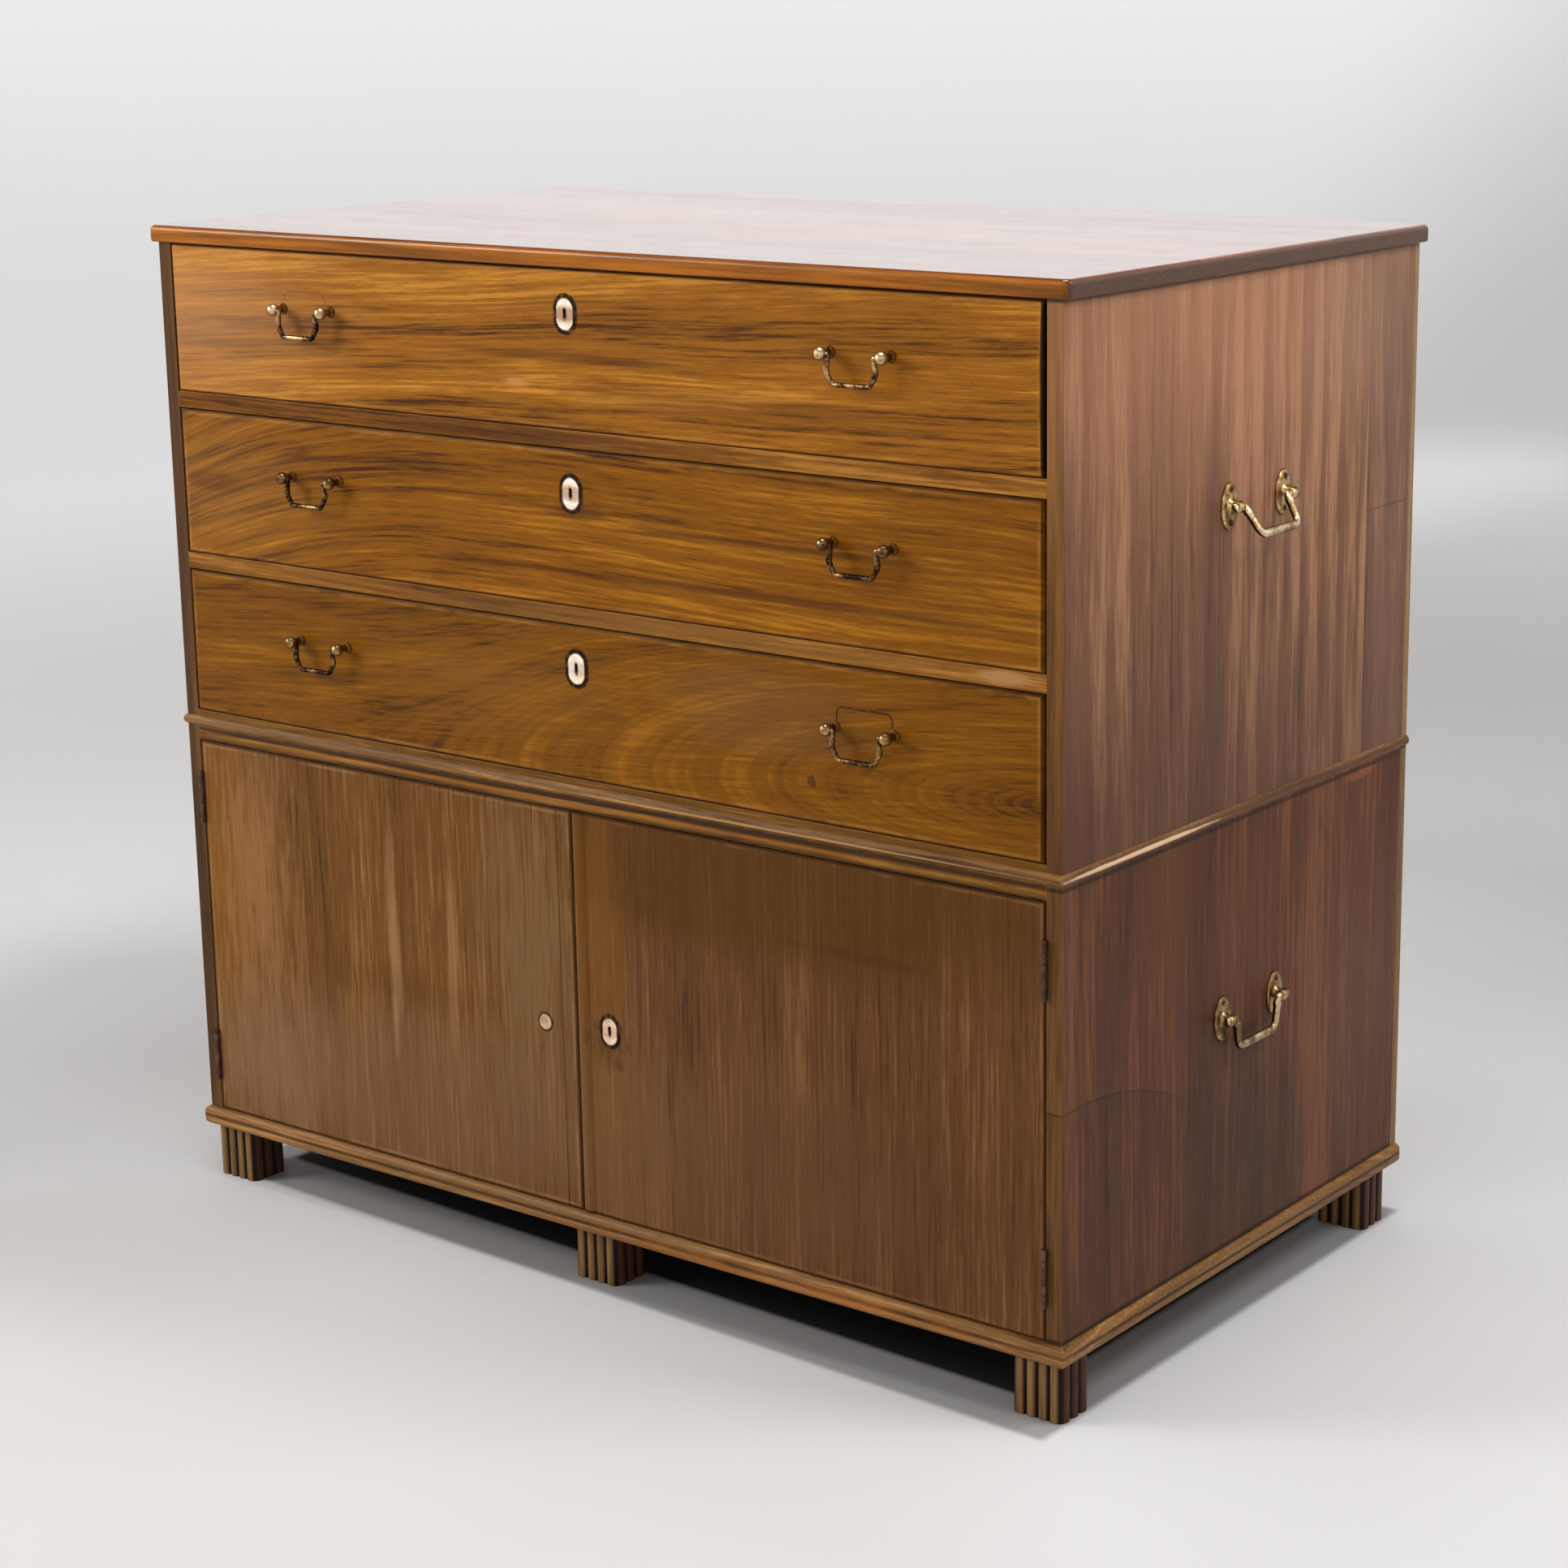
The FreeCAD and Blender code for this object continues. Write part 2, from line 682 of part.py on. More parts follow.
def make_drawer_front(drawer, z):
    """A thick board, its front arris eased, with holes for the lock, the key and the pommels."""
    body = new_body(f"drawer_{drawer}_front")
    thick = s.drawer_front_thick
    blank = new_sketch(body, "XZ_Plane")
    draw_rectangle(blank, front_left, 0, front_right, front_high)
    pad(body, blank, thick, backwards=True)
    fillet(body, lambda point: near(point.y, 0), s.drawer_front_round)
    recess = new_sketch(body, "XZ_Plane", -thick)
    draw_rectangle(recess, -s.lock_wide / 2, lock_bottom, s.lock_wide / 2, front_high)
    pocket(body, recess, s.lock_thick, backwards=True)
    groove = new_sketch(body, "XZ_Plane", -thick)
    draw_rectangle(groove, front_left + s.drawer_side_thick - s.drawer_groove_deep, s.drawer_bottom_rise,
                   front_right - s.drawer_side_thick + s.drawer_groove_deep,
                   s.drawer_bottom_rise + s.drawer_bottom_thick)
    pocket(body, groove, s.drawer_groove_deep, backwards=True)
    inlay = new_sketch(body, "XZ_Plane")
    draw_stadium(inlay, Size(0), front_middle + s.escutcheon_rise, s.escutcheon_wide, s.escutcheon_high)
    pocket(body, inlay, s.escutcheon_set)
    holes = new_sketch(body, "XZ_Plane")
    draw_keyhole(holes, 0, front_middle + s.escutcheon_rise + 2 * s.keyhole_radius)
    for x in pommel_places():
        draw_circle(holes, x, handle_z, s.pommel_shank_radius + s.shank_clearance)
    pocket(body, holes, thick)
    place_in_case(body, 0, 0, z)


def pommel_places():
    """Where the four pommels of a drawer stand, from the case's middle."""
    half = s.pommel_spacing / 2
    return [side * s.handle_from_middle + end * half for side in (-1, 1) for end in (-1, 1)]


def make_drawer_box(drawer, z):
    """Sides, back and bottom behind the front; the bottom slides into grooves under the back."""
    side_high = front_high - s.drawer_side_drop
    side_long = drawer_long - s.drawer_front_thick
    groove_z = z + s.drawer_bottom_rise
    inner_left = front_left + s.drawer_side_thick
    inner_right = front_right - s.drawer_side_thick
    bottom_left = inner_left - s.drawer_groove_deep
    bottom_wide = inner_right - inner_left + 2 * s.drawer_groove_deep
    sides = []
    for side, x, groove_x in (("left", front_left, bottom_left), ("right", inner_right, inner_right)):
        name = f"drawer_{drawer}_side_{side}"
        plank = board(f"{name}_plank", x, s.drawer_front_thick, z, s.drawer_side_thick, side_long, side_high)
        groove = board(f"{name}_groove", groove_x, s.drawer_front_thick, groove_z,
                       s.drawer_groove_deep, side_long, s.drawer_bottom_thick)
        sides.append(cut(name, plank, [groove]))
    group(f"drawer_{drawer}_sides", sides)
    above_bottom = s.drawer_bottom_rise + s.drawer_bottom_thick
    board(f"drawer_{drawer}_back", inner_left, drawer_long - s.drawer_back_thick, z + above_bottom,
          inner_right - inner_left, s.drawer_back_thick, side_high - above_bottom)
    bottom_front = s.drawer_front_thick - s.drawer_groove_deep
    board(f"drawer_{drawer}_bottom", bottom_left, bottom_front, groove_z,
          bottom_wide, drawer_long - bottom_front, s.drawer_bottom_thick)


def make_drawer_lock(drawer, z):
    """A box lock let into the back of the front; its bolt rises out of a channel in the top."""
    front = s.drawer_front_thick - s.lock_thick
    case = board(f"drawer_{drawer}_lock_case", -s.lock_wide / 2, front, z + lock_bottom,
                 s.lock_wide, s.lock_thick, s.lock_high)
    gap = s.bolt_clearance
    bolt_y = front + s.bolt_cover
    bolt_z = z + front_high - s.bolt_long
    channel = board(f"drawer_{drawer}_lock_channel", -s.bolt_wide / 2 - gap, bolt_y - gap, bolt_z - gap,
                    s.bolt_wide + 2 * gap, s.bolt_thick + 2 * gap, s.bolt_long + gap)
    cut(f"drawer_{drawer}_lock", case, [channel])
    board(f"drawer_{drawer}_lock_bolt", -s.bolt_wide / 2, bolt_y, bolt_z,
          s.bolt_wide, s.bolt_thick, s.bolt_long)


def pommel(name):
    """A ball on a neck over a small rose, turned with its shank; the wire goes through the ball."""
    body = new_body(name)
    shank_end = s.drawer_front_thick + s.nut_thick
    ball = s.pommel_ball_radius
    neck = s.pommel_neck_radius
    shoulder = root(ball * ball - neck * neck) - s.pommel_standoff
    profile = new_sketch(body, "XY_Plane")
    draw_loop(profile, (0, shank_end), [
        (s.pommel_shank_radius, shank_end),
        (s.pommel_shank_radius, 0),
        (s.pommel_rose_radius, 0),
        (s.pommel_rose_radius, -s.pommel_rose_thick),
        (neck, -s.pommel_rose_thick),
        (neck, shoulder),
        (ball, -s.pommel_standoff, 0, -s.pommel_standoff - ball),
        (0, shank_end),
    ])
    turned = body.newObject("PartDesign::Revolution", f"{name}_turned")
    turned.Profile = profile
    turned.ReferenceAxis = (origin_feature(body, "Y_Axis"), [""])
    turned.Angle = 360
    hole = new_sketch(body, "YZ_Plane")
    draw_circle(hole, -s.pommel_standoff, 0, s.bail_wire_radius + s.pin_clearance)
    pocket(body, hole, 4 * ball, middle=True)
    return body


def nut(name):
    """A six-sided nut on the shank, inside the drawer."""
    prism = doc.addObject("Part::Prism", f"{name}_prism")
    prism.Polygon = nut_sides
    prism.setExpression("Circumradius", (s.nut_across_corners / 2).formula)
    prism.setExpression("Height", s.nut_thick.formula)
    bore = plain_cylinder(f"{name}_bore", s.pommel_shank_radius + s.shank_clearance, s.nut_thick, (0, 0, 0))
    return cut(name, prism, [bore])


def bent_wire(label, wire_radius, corners, bends, spine_plane, section_plane, start):
    """A round wire swept along straight runs and bends."""
    body = new_body(label)
    spine = new_sketch(body, spine_plane)
    draw_bent_path(spine, corners, bends)
    section = new_sketch(body, section_plane, start)
    draw_circle(section, 0, 0, wire_radius)
    pipe = body.newObject("PartDesign::AdditivePipe", f"{label}_pipe")
    pipe.Profile = section
    pipe.Spine = (spine, [""])
    return body


def mirrored_path(half_corners):
    """The right half of a bail's path, from its pin to the bar, and its mirror image before it."""
    return [(-x, z) for x, z in half_corners] + [(x, z) for x, z in reversed(half_corners)]


def drawer_bail(label):
    """A swan-neck bail: its pins in the pommels, its neck inside them, its bar below."""
    half = s.pommel_spacing / 2
    neck = half - s.bail_neck_inset
    pin_end = half + s.bail_wire_radius
    corners = mirrored_path([
        (pin_end, Size(0)),
        (neck, Size(0)),
        (neck + s.bail_waist_swell, -s.bail_waist_drop),
        (half - s.bail_bar_inset, -s.bail_drop),
    ])
    bends = [s.bail_neck_bend, s.bail_waist_bend, s.bail_bar_bend]
    return bent_wire(label, s.bail_wire_radius, corners, bends + bends[::-1], "XZ_Plane", "YZ_Plane", -pin_end)


def make_drawer_handles(drawer, z):
    pommels = []
    for number, x in enumerate(pommel_places(), start=1):
        post = pommel(f"drawer_{drawer}_pommel_{number}")
        pommels.append(place_in_case(post, x, 0, z + handle_z))
        back = nut(f"drawer_{drawer}_nut_{number}")
        pommels.append(place_in_case(back, x, s.drawer_front_thick, z + handle_z, x_axis, -90))
    group(f"drawer_{drawer}_pommels", pommels)
    for side, sign in (("left", -1), ("right", 1)):
        bail = drawer_bail(f"drawer_{drawer}_bail_{side}")
        place_in_case(bail, sign * s.handle_from_middle, -s.pommel_standoff, z + handle_z)


def make_drawer(drawer):
    z = opening_z(drawer) + s.drawer_gap_below
    make_drawer_front(drawer, z)
    make_drawer_box(drawer, z)
    escutcheon(f"drawer_{drawer}_escutcheon", s.escutcheon_wide, s.escutcheon_high,
               0, 0, z + front_middle + s.escutcheon_rise)
    make_drawer_lock(drawer, z)
    make_drawer_handles(drawer, z)


# ---- Doors and hinges

def hinge_places():
    """Middles of the two hinges of a door, counted from the floor."""
    return (("lower", door_z + s.hinge_from_end), ("upper", door_z + door_high - s.hinge_from_end))


def hinge_mortises(name, side, gap):
    """The shallow housings of the leaves on one wooden edge; gap is the leaf's distance from the pin."""
    sign = 1 if side == "right" else -1
    near_pin = sign * hinge_axis_x + gap
    far = near_pin + (s.hinge_leaf_thick if gap.number > 0 else -s.hinge_leaf_thick)
    if side == "left":
        near_pin = sign * hinge_axis_x - gap
        far = near_pin - (s.hinge_leaf_thick if gap.number > 0 else -s.hinge_leaf_thick)
    low_x, high_x = (near_pin, far) if near_pin.number < far.number else (far, near_pin)
    return [board(f"{name}_mortise_{level}", low_x, 0, z - s.hinge_long / 2,
                  high_x - low_x, s.hinge_leaf_deep, s.hinge_long) for level, z in hinge_places()]


def knuckle_cutters(name, foreign, radius):
    """Cylinders round the knuckles that belong to the other leaf."""
    pitch = s.hinge_long / hinge_knuckles
    margin = s.hinge_clearance / 2
    cutters = []
    for knuckle in range(hinge_knuckles):
        if knuckle % 2 == foreign:
            low = pitch * knuckle - s.hinge_long / 2 - margin
            cutters.append(plain_cylinder(f"{name}_space_{knuckle}", radius, pitch + 2 * margin, (0, 0, low)))
    return cutters


def hinge_leaf(name, x, foreign, with_pin):
    """A leaf and its knuckles round the pin's axis, which is the local Z axis."""
    low = -s.hinge_long / 2
    plate = plain_box(f"{name}_plate", (x, 0, low),
                      (s.hinge_leaf_thick, s.hinge_standoff + s.hinge_leaf_deep, s.hinge_long))
    barrel = plain_cylinder(f"{name}_barrel", s.hinge_knuckle_radius, s.hinge_long, (0, 0, low))
    blank = fused(f"{name}_blank", [plate, barrel])
    tools = knuckle_cutters(name, foreign, s.hinge_knuckle_radius + s.hinge_clearance)
    if with_pin:
        notched = cut(f"{name}_notched", blank, tools)
        pin = plain_cylinder(f"{name}_pin", s.hinge_pin_radius, s.hinge_long, (0, 0, low))
        return fused(name, [notched, pin])
    bore = plain_cylinder(f"{name}_bore", s.hinge_pin_radius + s.pin_clearance, s.hinge_long, (0, 0, low))
    notched = cut(f"{name}_notched", blank, tools)
    return cut(name, notched, [bore])


def make_hinges():
    """Four butt hinges. The case's leaf holds the pin and the odd knuckles, the door's leaf the even ones."""
    case_leaves = []
    for side, sign in (("left", -1), ("right", 1)):
        door_leaves = []
        for level, z in hinge_places():
            outward = s.hinge_leaf_gap / 2
            fixed = hinge_leaf(f"case_leaf_{side}_{level}", outward, 1, True)
            moving = hinge_leaf(f"door_leaf_{side}_{level}", -outward - s.hinge_leaf_thick, 0, False)
            # The left hinges are the right ones turned over.
            turn = 0 if sign > 0 else 180
            for leaf in (fixed, moving):
                place_in_case(leaf, sign * hinge_axis_x, -s.hinge_standoff, z, y_axis, turn)
            case_leaves.append(fixed)
            door_leaves.append(moving)
        group(f"{side}_door_hinge_leaves", door_leaves)
    group("case_hinge_leaves", case_leaves)


def make_left_door():
    """A flat door whose meeting edge has a lipping, shown by a fine groove."""
    body = new_body("door_left")
    edge = left_meeting_edge
    strip = edge - s.door_edge_strip
    sketch = new_sketch(body, "XY_Plane")
    draw_loop(sketch, (-hinge_edge, s.door_thick), [
        (-hinge_edge, 0),
        (strip - s.door_groove_wide, 0),
        (strip - s.door_groove_wide / 2, s.door_groove_deep),
        (strip, 0),
        (edge, 0),
        (edge, s.door_thick),
        (-hinge_edge, s.door_thick),
    ])
    pad(body, sketch, door_high)
    cut_leaf_housings(body, -1)
    inlay = new_sketch(body, "XZ_Plane")
    draw_circle(inlay, s.button_x, s.button_z - door_z, s.button_radius)
    pocket(body, inlay, s.escutcheon_set)
    place_in_case(body, 0, 0, door_z)


def make_right_door():
    """A flat door with a round bead worked on its meeting edge."""
    body = new_body("door_right")
    edge = right_meeting_edge
    bead = edge + s.door_bead_wide
    sketch = new_sketch(body, "XY_Plane")
    draw_loop(sketch, (hinge_edge, s.door_thick), [
        (edge, s.door_thick),
        (edge, s.door_groove_deep),
        (edge + s.door_bead_wide / 2, -s.door_bead_proud, bead, s.door_groove_deep),
        (bead + s.door_groove_wide, s.door_groove_deep),
        (bead + s.door_groove_wide, 0),
        (hinge_edge, 0),
        (hinge_edge, s.door_thick),
    ])
    pad(body, sketch, door_high)
    cut_leaf_housings(body, 1)
    key_z = s.door_escutcheon_z - door_z
    inlay = new_sketch(body, "XZ_Plane")
    draw_stadium(inlay, s.door_escutcheon_x, key_z, s.door_escutcheon_wide, s.door_escutcheon_high)
    pocket(body, inlay, s.escutcheon_set)
    hole = new_sketch(body, "XZ_Plane")
    draw_keyhole(hole, s.door_escutcheon_x, key_z + 2 * s.keyhole_radius)
    pocket(body, hole, s.door_thick)
    place_in_case(body, 0, 0, door_z)


def cut_leaf_housings(body, sign):
    """Housings for the two leaves in a door's outer edge."""
    outer = hinge_axis_x - s.hinge_leaf_gap / 2
    inner = outer - s.hinge_leaf_thick
    sketch = new_sketch(body, "XZ_Plane")
    for _, z in hinge_places():
        low = z - door_z - s.hinge_long / 2
        draw_rectangle(sketch, sign * inner, low, sign * outer, low + s.hinge_long)
    pocket(body, sketch, s.hinge_leaf_deep)


def make_button():
    """A round bone button let into the left door, level with the other door's escutcheon."""
    body = new_body("left_door_button")
    sketch = new_sketch(body, "XZ_Plane", s.escutcheon_proud)
    draw_circle(sketch, 0, 0, s.button_radius)
    pad(body, sketch, s.escutcheon_proud + s.escutcheon_set, backwards=True)
    fillet(body, lambda point: near(point.y, -s.escutcheon_proud), s.escutcheon_proud / 2)
    place_in_case(body, s.button_x, 0, s.button_z)


def make_door_lock():
    """A box lock on the back of the right door; its bolt shoots behind the left door."""
    left = right_meeting_edge + s.door_lock_inset
    low = s.door_escutcheon_z - s.door_lock_high / 2
    case = board("door_lock_case", left, s.door_thick, low,
                 s.door_lock_wide, s.door_lock_thick, s.door_lock_high)
    gap = s.bolt_clearance
    bolt_y = s.door_thick + s.bolt_cover
    bolt_z = s.door_escutcheon_z - s.bolt_wide / 2
    channel = board("door_lock_channel", left, bolt_y - gap, bolt_z - gap,
                    s.bolt_long + gap, s.bolt_thick + 2 * gap, s.bolt_wide + 2 * gap)
    cut("door_lock", case, [channel])
    board("door_lock_bolt", left, bolt_y, bolt_z, s.bolt_long, s.bolt_thick, s.bolt_wide)


def make_doors():
    make_left_door()
    make_right_door()
    make_button()
    escutcheon("door_escutcheon", s.door_escutcheon_wide, s.door_escutcheon_high,
               s.door_escutcheon_x, 0, s.door_escutcheon_z)
    make_door_lock()
    make_hinges()


# ---- Lifting handles

def lifting_plate(name):
    """An oval plate with a boss that takes the bail's pin; its back lies at X = 0."""
    body = new_body(name)
    half_wide = s.lift_plate_wide / 2
    half_high = s.lift_plate_high / 2
    # Four arcs through points of an ellipse: its ends and the points halfway round between them.
    share = math.cos(math.radians(half_right_angle))
    side = half_wide * share
    rise = half_high * share
    oval = new_sketch(body, "YZ_Plane")
    draw_loop(oval, (side, -rise), [
        (half_wide, 0, side, rise),
        (0, half_high, -side, rise),
        (-half_wide, 0, -side, -rise),
        (0, -half_high, side, -rise),
    ])
    pad(body, oval, s.lift_plate_thick)
    radius = s.lift_boss_radius
    lug = new_sketch(body, "XZ_Plane")
    draw_loop(lug, (0, -radius), [
        (s.lift_standoff, -radius),
        (s.lift_standoff + radius, 0, s.lift_standoff, radius),
        (0, radius),
        (0, -radius),
    ])
    pad(body, lug, s.lift_boss_long, middle=True)
    hole = new_sketch(body, "XZ_Plane")
    draw_circle(hole, s.lift_standoff, 0, s.lift_wire_radius + s.pin_clearance)
    pocket(body, hole, 2 * s.lift_boss_long, middle=True)
    return body


def lifting_bail(label):
    """A bail whose pins turn in the two bosses and whose bar is a little shorter than their spacing."""
    half = s.lift_plate_spacing / 2
    neck = half - s.lift_neck_inset
    pin_end = neck + s.lift_pin_long
    corners = mirrored_path([
        (pin_end, Size(0)),
        (neck, Size(0)),
        (half - s.lift_bar_inset, -s.lift_drop),
    ])
    bends = [s.lift_neck_bend, s.lift_bar_bend]
    return bent_wire(label, s.lift_wire_radius, corners, bends + bends[::-1], "YZ_Plane", "XZ_Plane", pin_end)


def make_lifting_handles(case, z, right_swing):
    plates = []
    for side, sign in (("left", -1), ("right", 1)):
        for end, step in (("front", -1), ("rear", 1)):
            plate = lifting_plate(f"{case}_plate_{side}_{end}")
            y = s.lift_from_front + step * s.lift_plate_spacing / 2
            plates.append(place_in_case(plate, sign * half_width, y, z, z_axis, 0 if sign > 0 else 180))
        bail = lifting_bail(f"{case}_bail_{side}")
        swing = -right_swing if sign > 0 else Size(0)
        place_in_case(bail, sign * (half_width + s.lift_standoff), s.lift_from_front, z, y_axis, swing)
    group(f"{case}_handle_plates", plates)


# ---- The whole chest

make_upper_carcass()
make_top_board()
make_rails_and_runners()
make_lower_carcass()
make_beads()
make_feet()
for drawer_number in range(1, drawer_count + 1):
    make_drawer(drawer_number)
make_doors()
make_lifting_handles("upper", s.lift_upper_z, s.lift_swing)
make_lifting_handles("lower", s.lift_lower_z, Size(0))

case_nodes = [
    "top_board", "upper_side_left", "upper_side_right", "upper_back", "upper_bottom",
    "drawer_rails", "drawer_runners", "waist_bead", "upper_handle_plates",
    "upper_bail_left", "upper_bail_right",
    "lower_side_left", "lower_side_right", "lower_top", "lower_bottom", "lower_back",
    "base_bead", "feet", "case_hinge_leaves", "lower_handle_plates",
    "lower_bail_left", "lower_bail_right",
    "door_left", "door_right", "left_door_hinge_leaves", "right_door_hinge_leaves",
    "left_door_button", "door_escutcheon", "door_lock", "door_lock_bolt",
]
drawer_pieces = ["front", "sides", "back", "bottom", "escutcheon", "lock", "lock_bolt",
                 "pommels", "bail_left", "bail_right"]
nodes = case_nodes + [f"drawer_{number}_{piece}" for number in range(1, drawer_count + 1)
                      for piece in drawer_pieces]

doc.recompute()
failed = [item.Label for item in doc.Objects if {"Invalid", "Error"} & set(item.State)]
if failed:
    raise RuntimeError(f"not built: {failed}")
os.makedirs("parts", exist_ok=True)
for label in nodes:
    shape = doc.getObject(label).Shape
    if shape.isNull() or not shape.isValid() or not shape.Solids:
        raise RuntimeError(f"{label} is not a valid solid")
    shape.exportStep(f"parts/{label}.step")
print(f"{len(nodes)} sub-parts written")
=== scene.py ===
import math
from functools import partialmethod, reduce
import bmesh
import bpy
import numpy as np
from mathutils import Matrix, Vector


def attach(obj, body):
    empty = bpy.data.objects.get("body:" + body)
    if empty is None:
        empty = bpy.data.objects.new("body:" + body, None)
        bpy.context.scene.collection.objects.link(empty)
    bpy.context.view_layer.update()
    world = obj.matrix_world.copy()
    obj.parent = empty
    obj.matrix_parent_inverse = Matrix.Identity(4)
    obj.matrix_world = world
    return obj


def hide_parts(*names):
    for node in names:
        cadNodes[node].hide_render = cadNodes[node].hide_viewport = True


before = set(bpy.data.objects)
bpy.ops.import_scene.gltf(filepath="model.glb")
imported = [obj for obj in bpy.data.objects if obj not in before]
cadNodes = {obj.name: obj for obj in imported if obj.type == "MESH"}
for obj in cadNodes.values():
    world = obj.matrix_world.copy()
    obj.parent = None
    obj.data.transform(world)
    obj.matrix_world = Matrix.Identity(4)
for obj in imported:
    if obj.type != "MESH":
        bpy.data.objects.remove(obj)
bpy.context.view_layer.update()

# Places on the chest that several pieces share, in metres

caseMiddle = -0.006566         # X of the middle of the case
caseHalf = 0.5                 # from there to the outside of a side
frontPlane = -0.27475          # Y of the fronts of drawers, doors and sides
sidePlane = 0.4934             # X of the outside of the right side
drawerLow = {1: 0.7763, 2: 0.6243, 3: 0.4723}       # Z of the lower edge of each front
escutcheonUp = 0.09765         # from there to the middle of the escutcheon
handleUp = 0.08365             # and to the pins of the handles
doorEscutcheon = (0.018434, 0.247)                  # X and Z of its middle
platesY = (-0.02975, 0.05825)                       # the two plates of each lifting handle
platesZ = dict(upper=0.7225, lower=0.282)


# Short ways to build a node tree

class Graph:
    # wraps a node tree: a socket given as an input is linked, anything else is set on it

    def __init__(self, tree):
        self.tree = tree

    def fill(self, made, inputs):
        for name, value in inputs.items():
            if isinstance(value, bpy.types.NodeSocket):
                self.tree.links.new(value, made.inputs[name])
            elif value is not None:
                made.inputs[name].default_value = value
        return made.outputs

    def add(self, kind, inputs, out=0, **settings):
        made = self.tree.nodes.new("ShaderNode" + kind)
        for name, value in settings.items():
            setattr(made, name, value)
        outputs = self.fill(made, inputs)
        return outputs[out] if outputs else None

    def group(self, tree, inputs):
        made = self.tree.nodes.new("ShaderNodeGroup")
        made.node_tree = tree
        return self.fill(made, inputs)

    def math(self, operation, a, b=None, c=None):
        return self.add("Math", {0: a, 1: b, 2: c}, operation=operation)

    # timesPlus is a * b + c, size is a number without its sign, rest is what follows its whole part
    times = partialmethod(math, "MULTIPLY")
    timesPlus = partialmethod(math, "MULTIPLY_ADD")
    plus = partialmethod(math, "ADD")
    minus = partialmethod(math, "SUBTRACT")
    over = partialmethod(math, "DIVIDE")
    most = partialmethod(math, "MAXIMUM")
    least = partialmethod(math, "MINIMUM")
    size = partialmethod(math, "ABSOLUTE")
    rest = partialmethod(math, "FRACT")
    past = partialmethod(math, "GREATER_THAN")
    under = partialmethod(math, "LESS_THAN")

    def swing(self, base, noise, amount):
        # base + (noise - 0.5) * amount
        return self.timesPlus(self.minus(noise, 0.5), amount, base)

    def vector(self, operation, a, b=None, out=0):
        return self.add("VectorMath", {0: a, 1: b}, out, operation=operation)

    def scaled(self, vector, factors):
        return self.vector("MULTIPLY", vector, factors)

    def length(self, vector):
        return self.vector("LENGTH", vector, out=1)

    def mix(self, factor, a, b, blend="MIX"):
        return self.add("Mix", {0: factor, 6: a, 7: b}, 2, data_type="RGBA", blend_type=blend)

    def stain(self, colour, mask, amount, paintOver):
        # the colour under a mask of the given strength
        return self.mix(self.times(mask, amount), colour, paint(*paintOver))

    def between(self, value, low, high, start=0, end=1):
        return self.add("MapRange", {0: value, 1: low, 2: high, 3: start, 4: end},
                        interpolation_type="SMOOTHSTEP")

    def noise(self, vector, scale=1, detail=2, roughness=0.5, out=0):
        return self.add("TexNoise", {"Vector": vector, "Scale": scale, "Detail": detail,
                                     "Roughness": roughness}, out)

    def parts(self, vector):
        split = self.tree.nodes.new("ShaderNodeSeparateXYZ")
        return tuple(self.fill(split, {0: vector}))

    def joined(self, x, y, z):
        return self.add("CombineXYZ", {0: x, 1: y, 2: z})

    def place(self):
        # where a point is on the object, in metres
        return self.add("TexCoord", {}, out=3)

    def facing(self):
        # which way the surface looks, by the object's own axes
        return self.parts(self.add("TexCoord", {}, out=1))

    def bump(self, strength, distance, height, normal):
        return self.add("Bump", {"Strength": strength, "Distance": distance, "Height": height,
                                 "Normal": normal})

    def surface(self, inputs):
        self.add("OutputMaterial", {"Surface": self.add("BsdfPrincipled", inputs)})


def makeGroup(name, build, inputs, outputs):
    # inputs and outputs are {kind of socket: names}; build gets the graph and its inputs, returns outputs
    tree = bpy.data.node_groups.new(name, "ShaderNodeTree")
    for way, sockets in (("INPUT", inputs), ("OUTPUT", outputs)):
        for kind, labels in sockets.items():
            for label in labels.split(", "):
                tree.interface.new_socket(label, in_out=way, socket_type="NodeSocket" + kind)
    entry, leave = tree.nodes.new("NodeGroupInput"), tree.nodes.new("NodeGroupOutput")
    for label, socket in build(Graph(tree), entry.outputs).items():
        tree.links.new(socket, leave.inputs[label])
    return tree


def newMaterial(name):
    # an empty material and the graph that fills it
    material = bpy.data.materials.new(name)
    material.use_nodes = True
    material.node_tree.nodes.clear()
    return material, Graph(material.node_tree)


def paint(red, green, blue):
    # a colour in screen values 0 to 255, as light
    share = np.array([red, green, blue]) / 255
    light = np.where(share <= 0.04045, share / 12.92, ((share + 0.055) / 1.055) ** 2.4)
    return (*[float(v) for v in light], 1)


# Effects that several materials share

# noise per metre along the grain, away from the heart and across
grainScale = dict(slow=(1.1, 3.2, 3.2), uneven=(5, 40, 40), broad=(0.9, 16, 3),
                  streak=(3.6, 86, 4), fibre=(12, 300, 300), pores=(38, 900, 900))


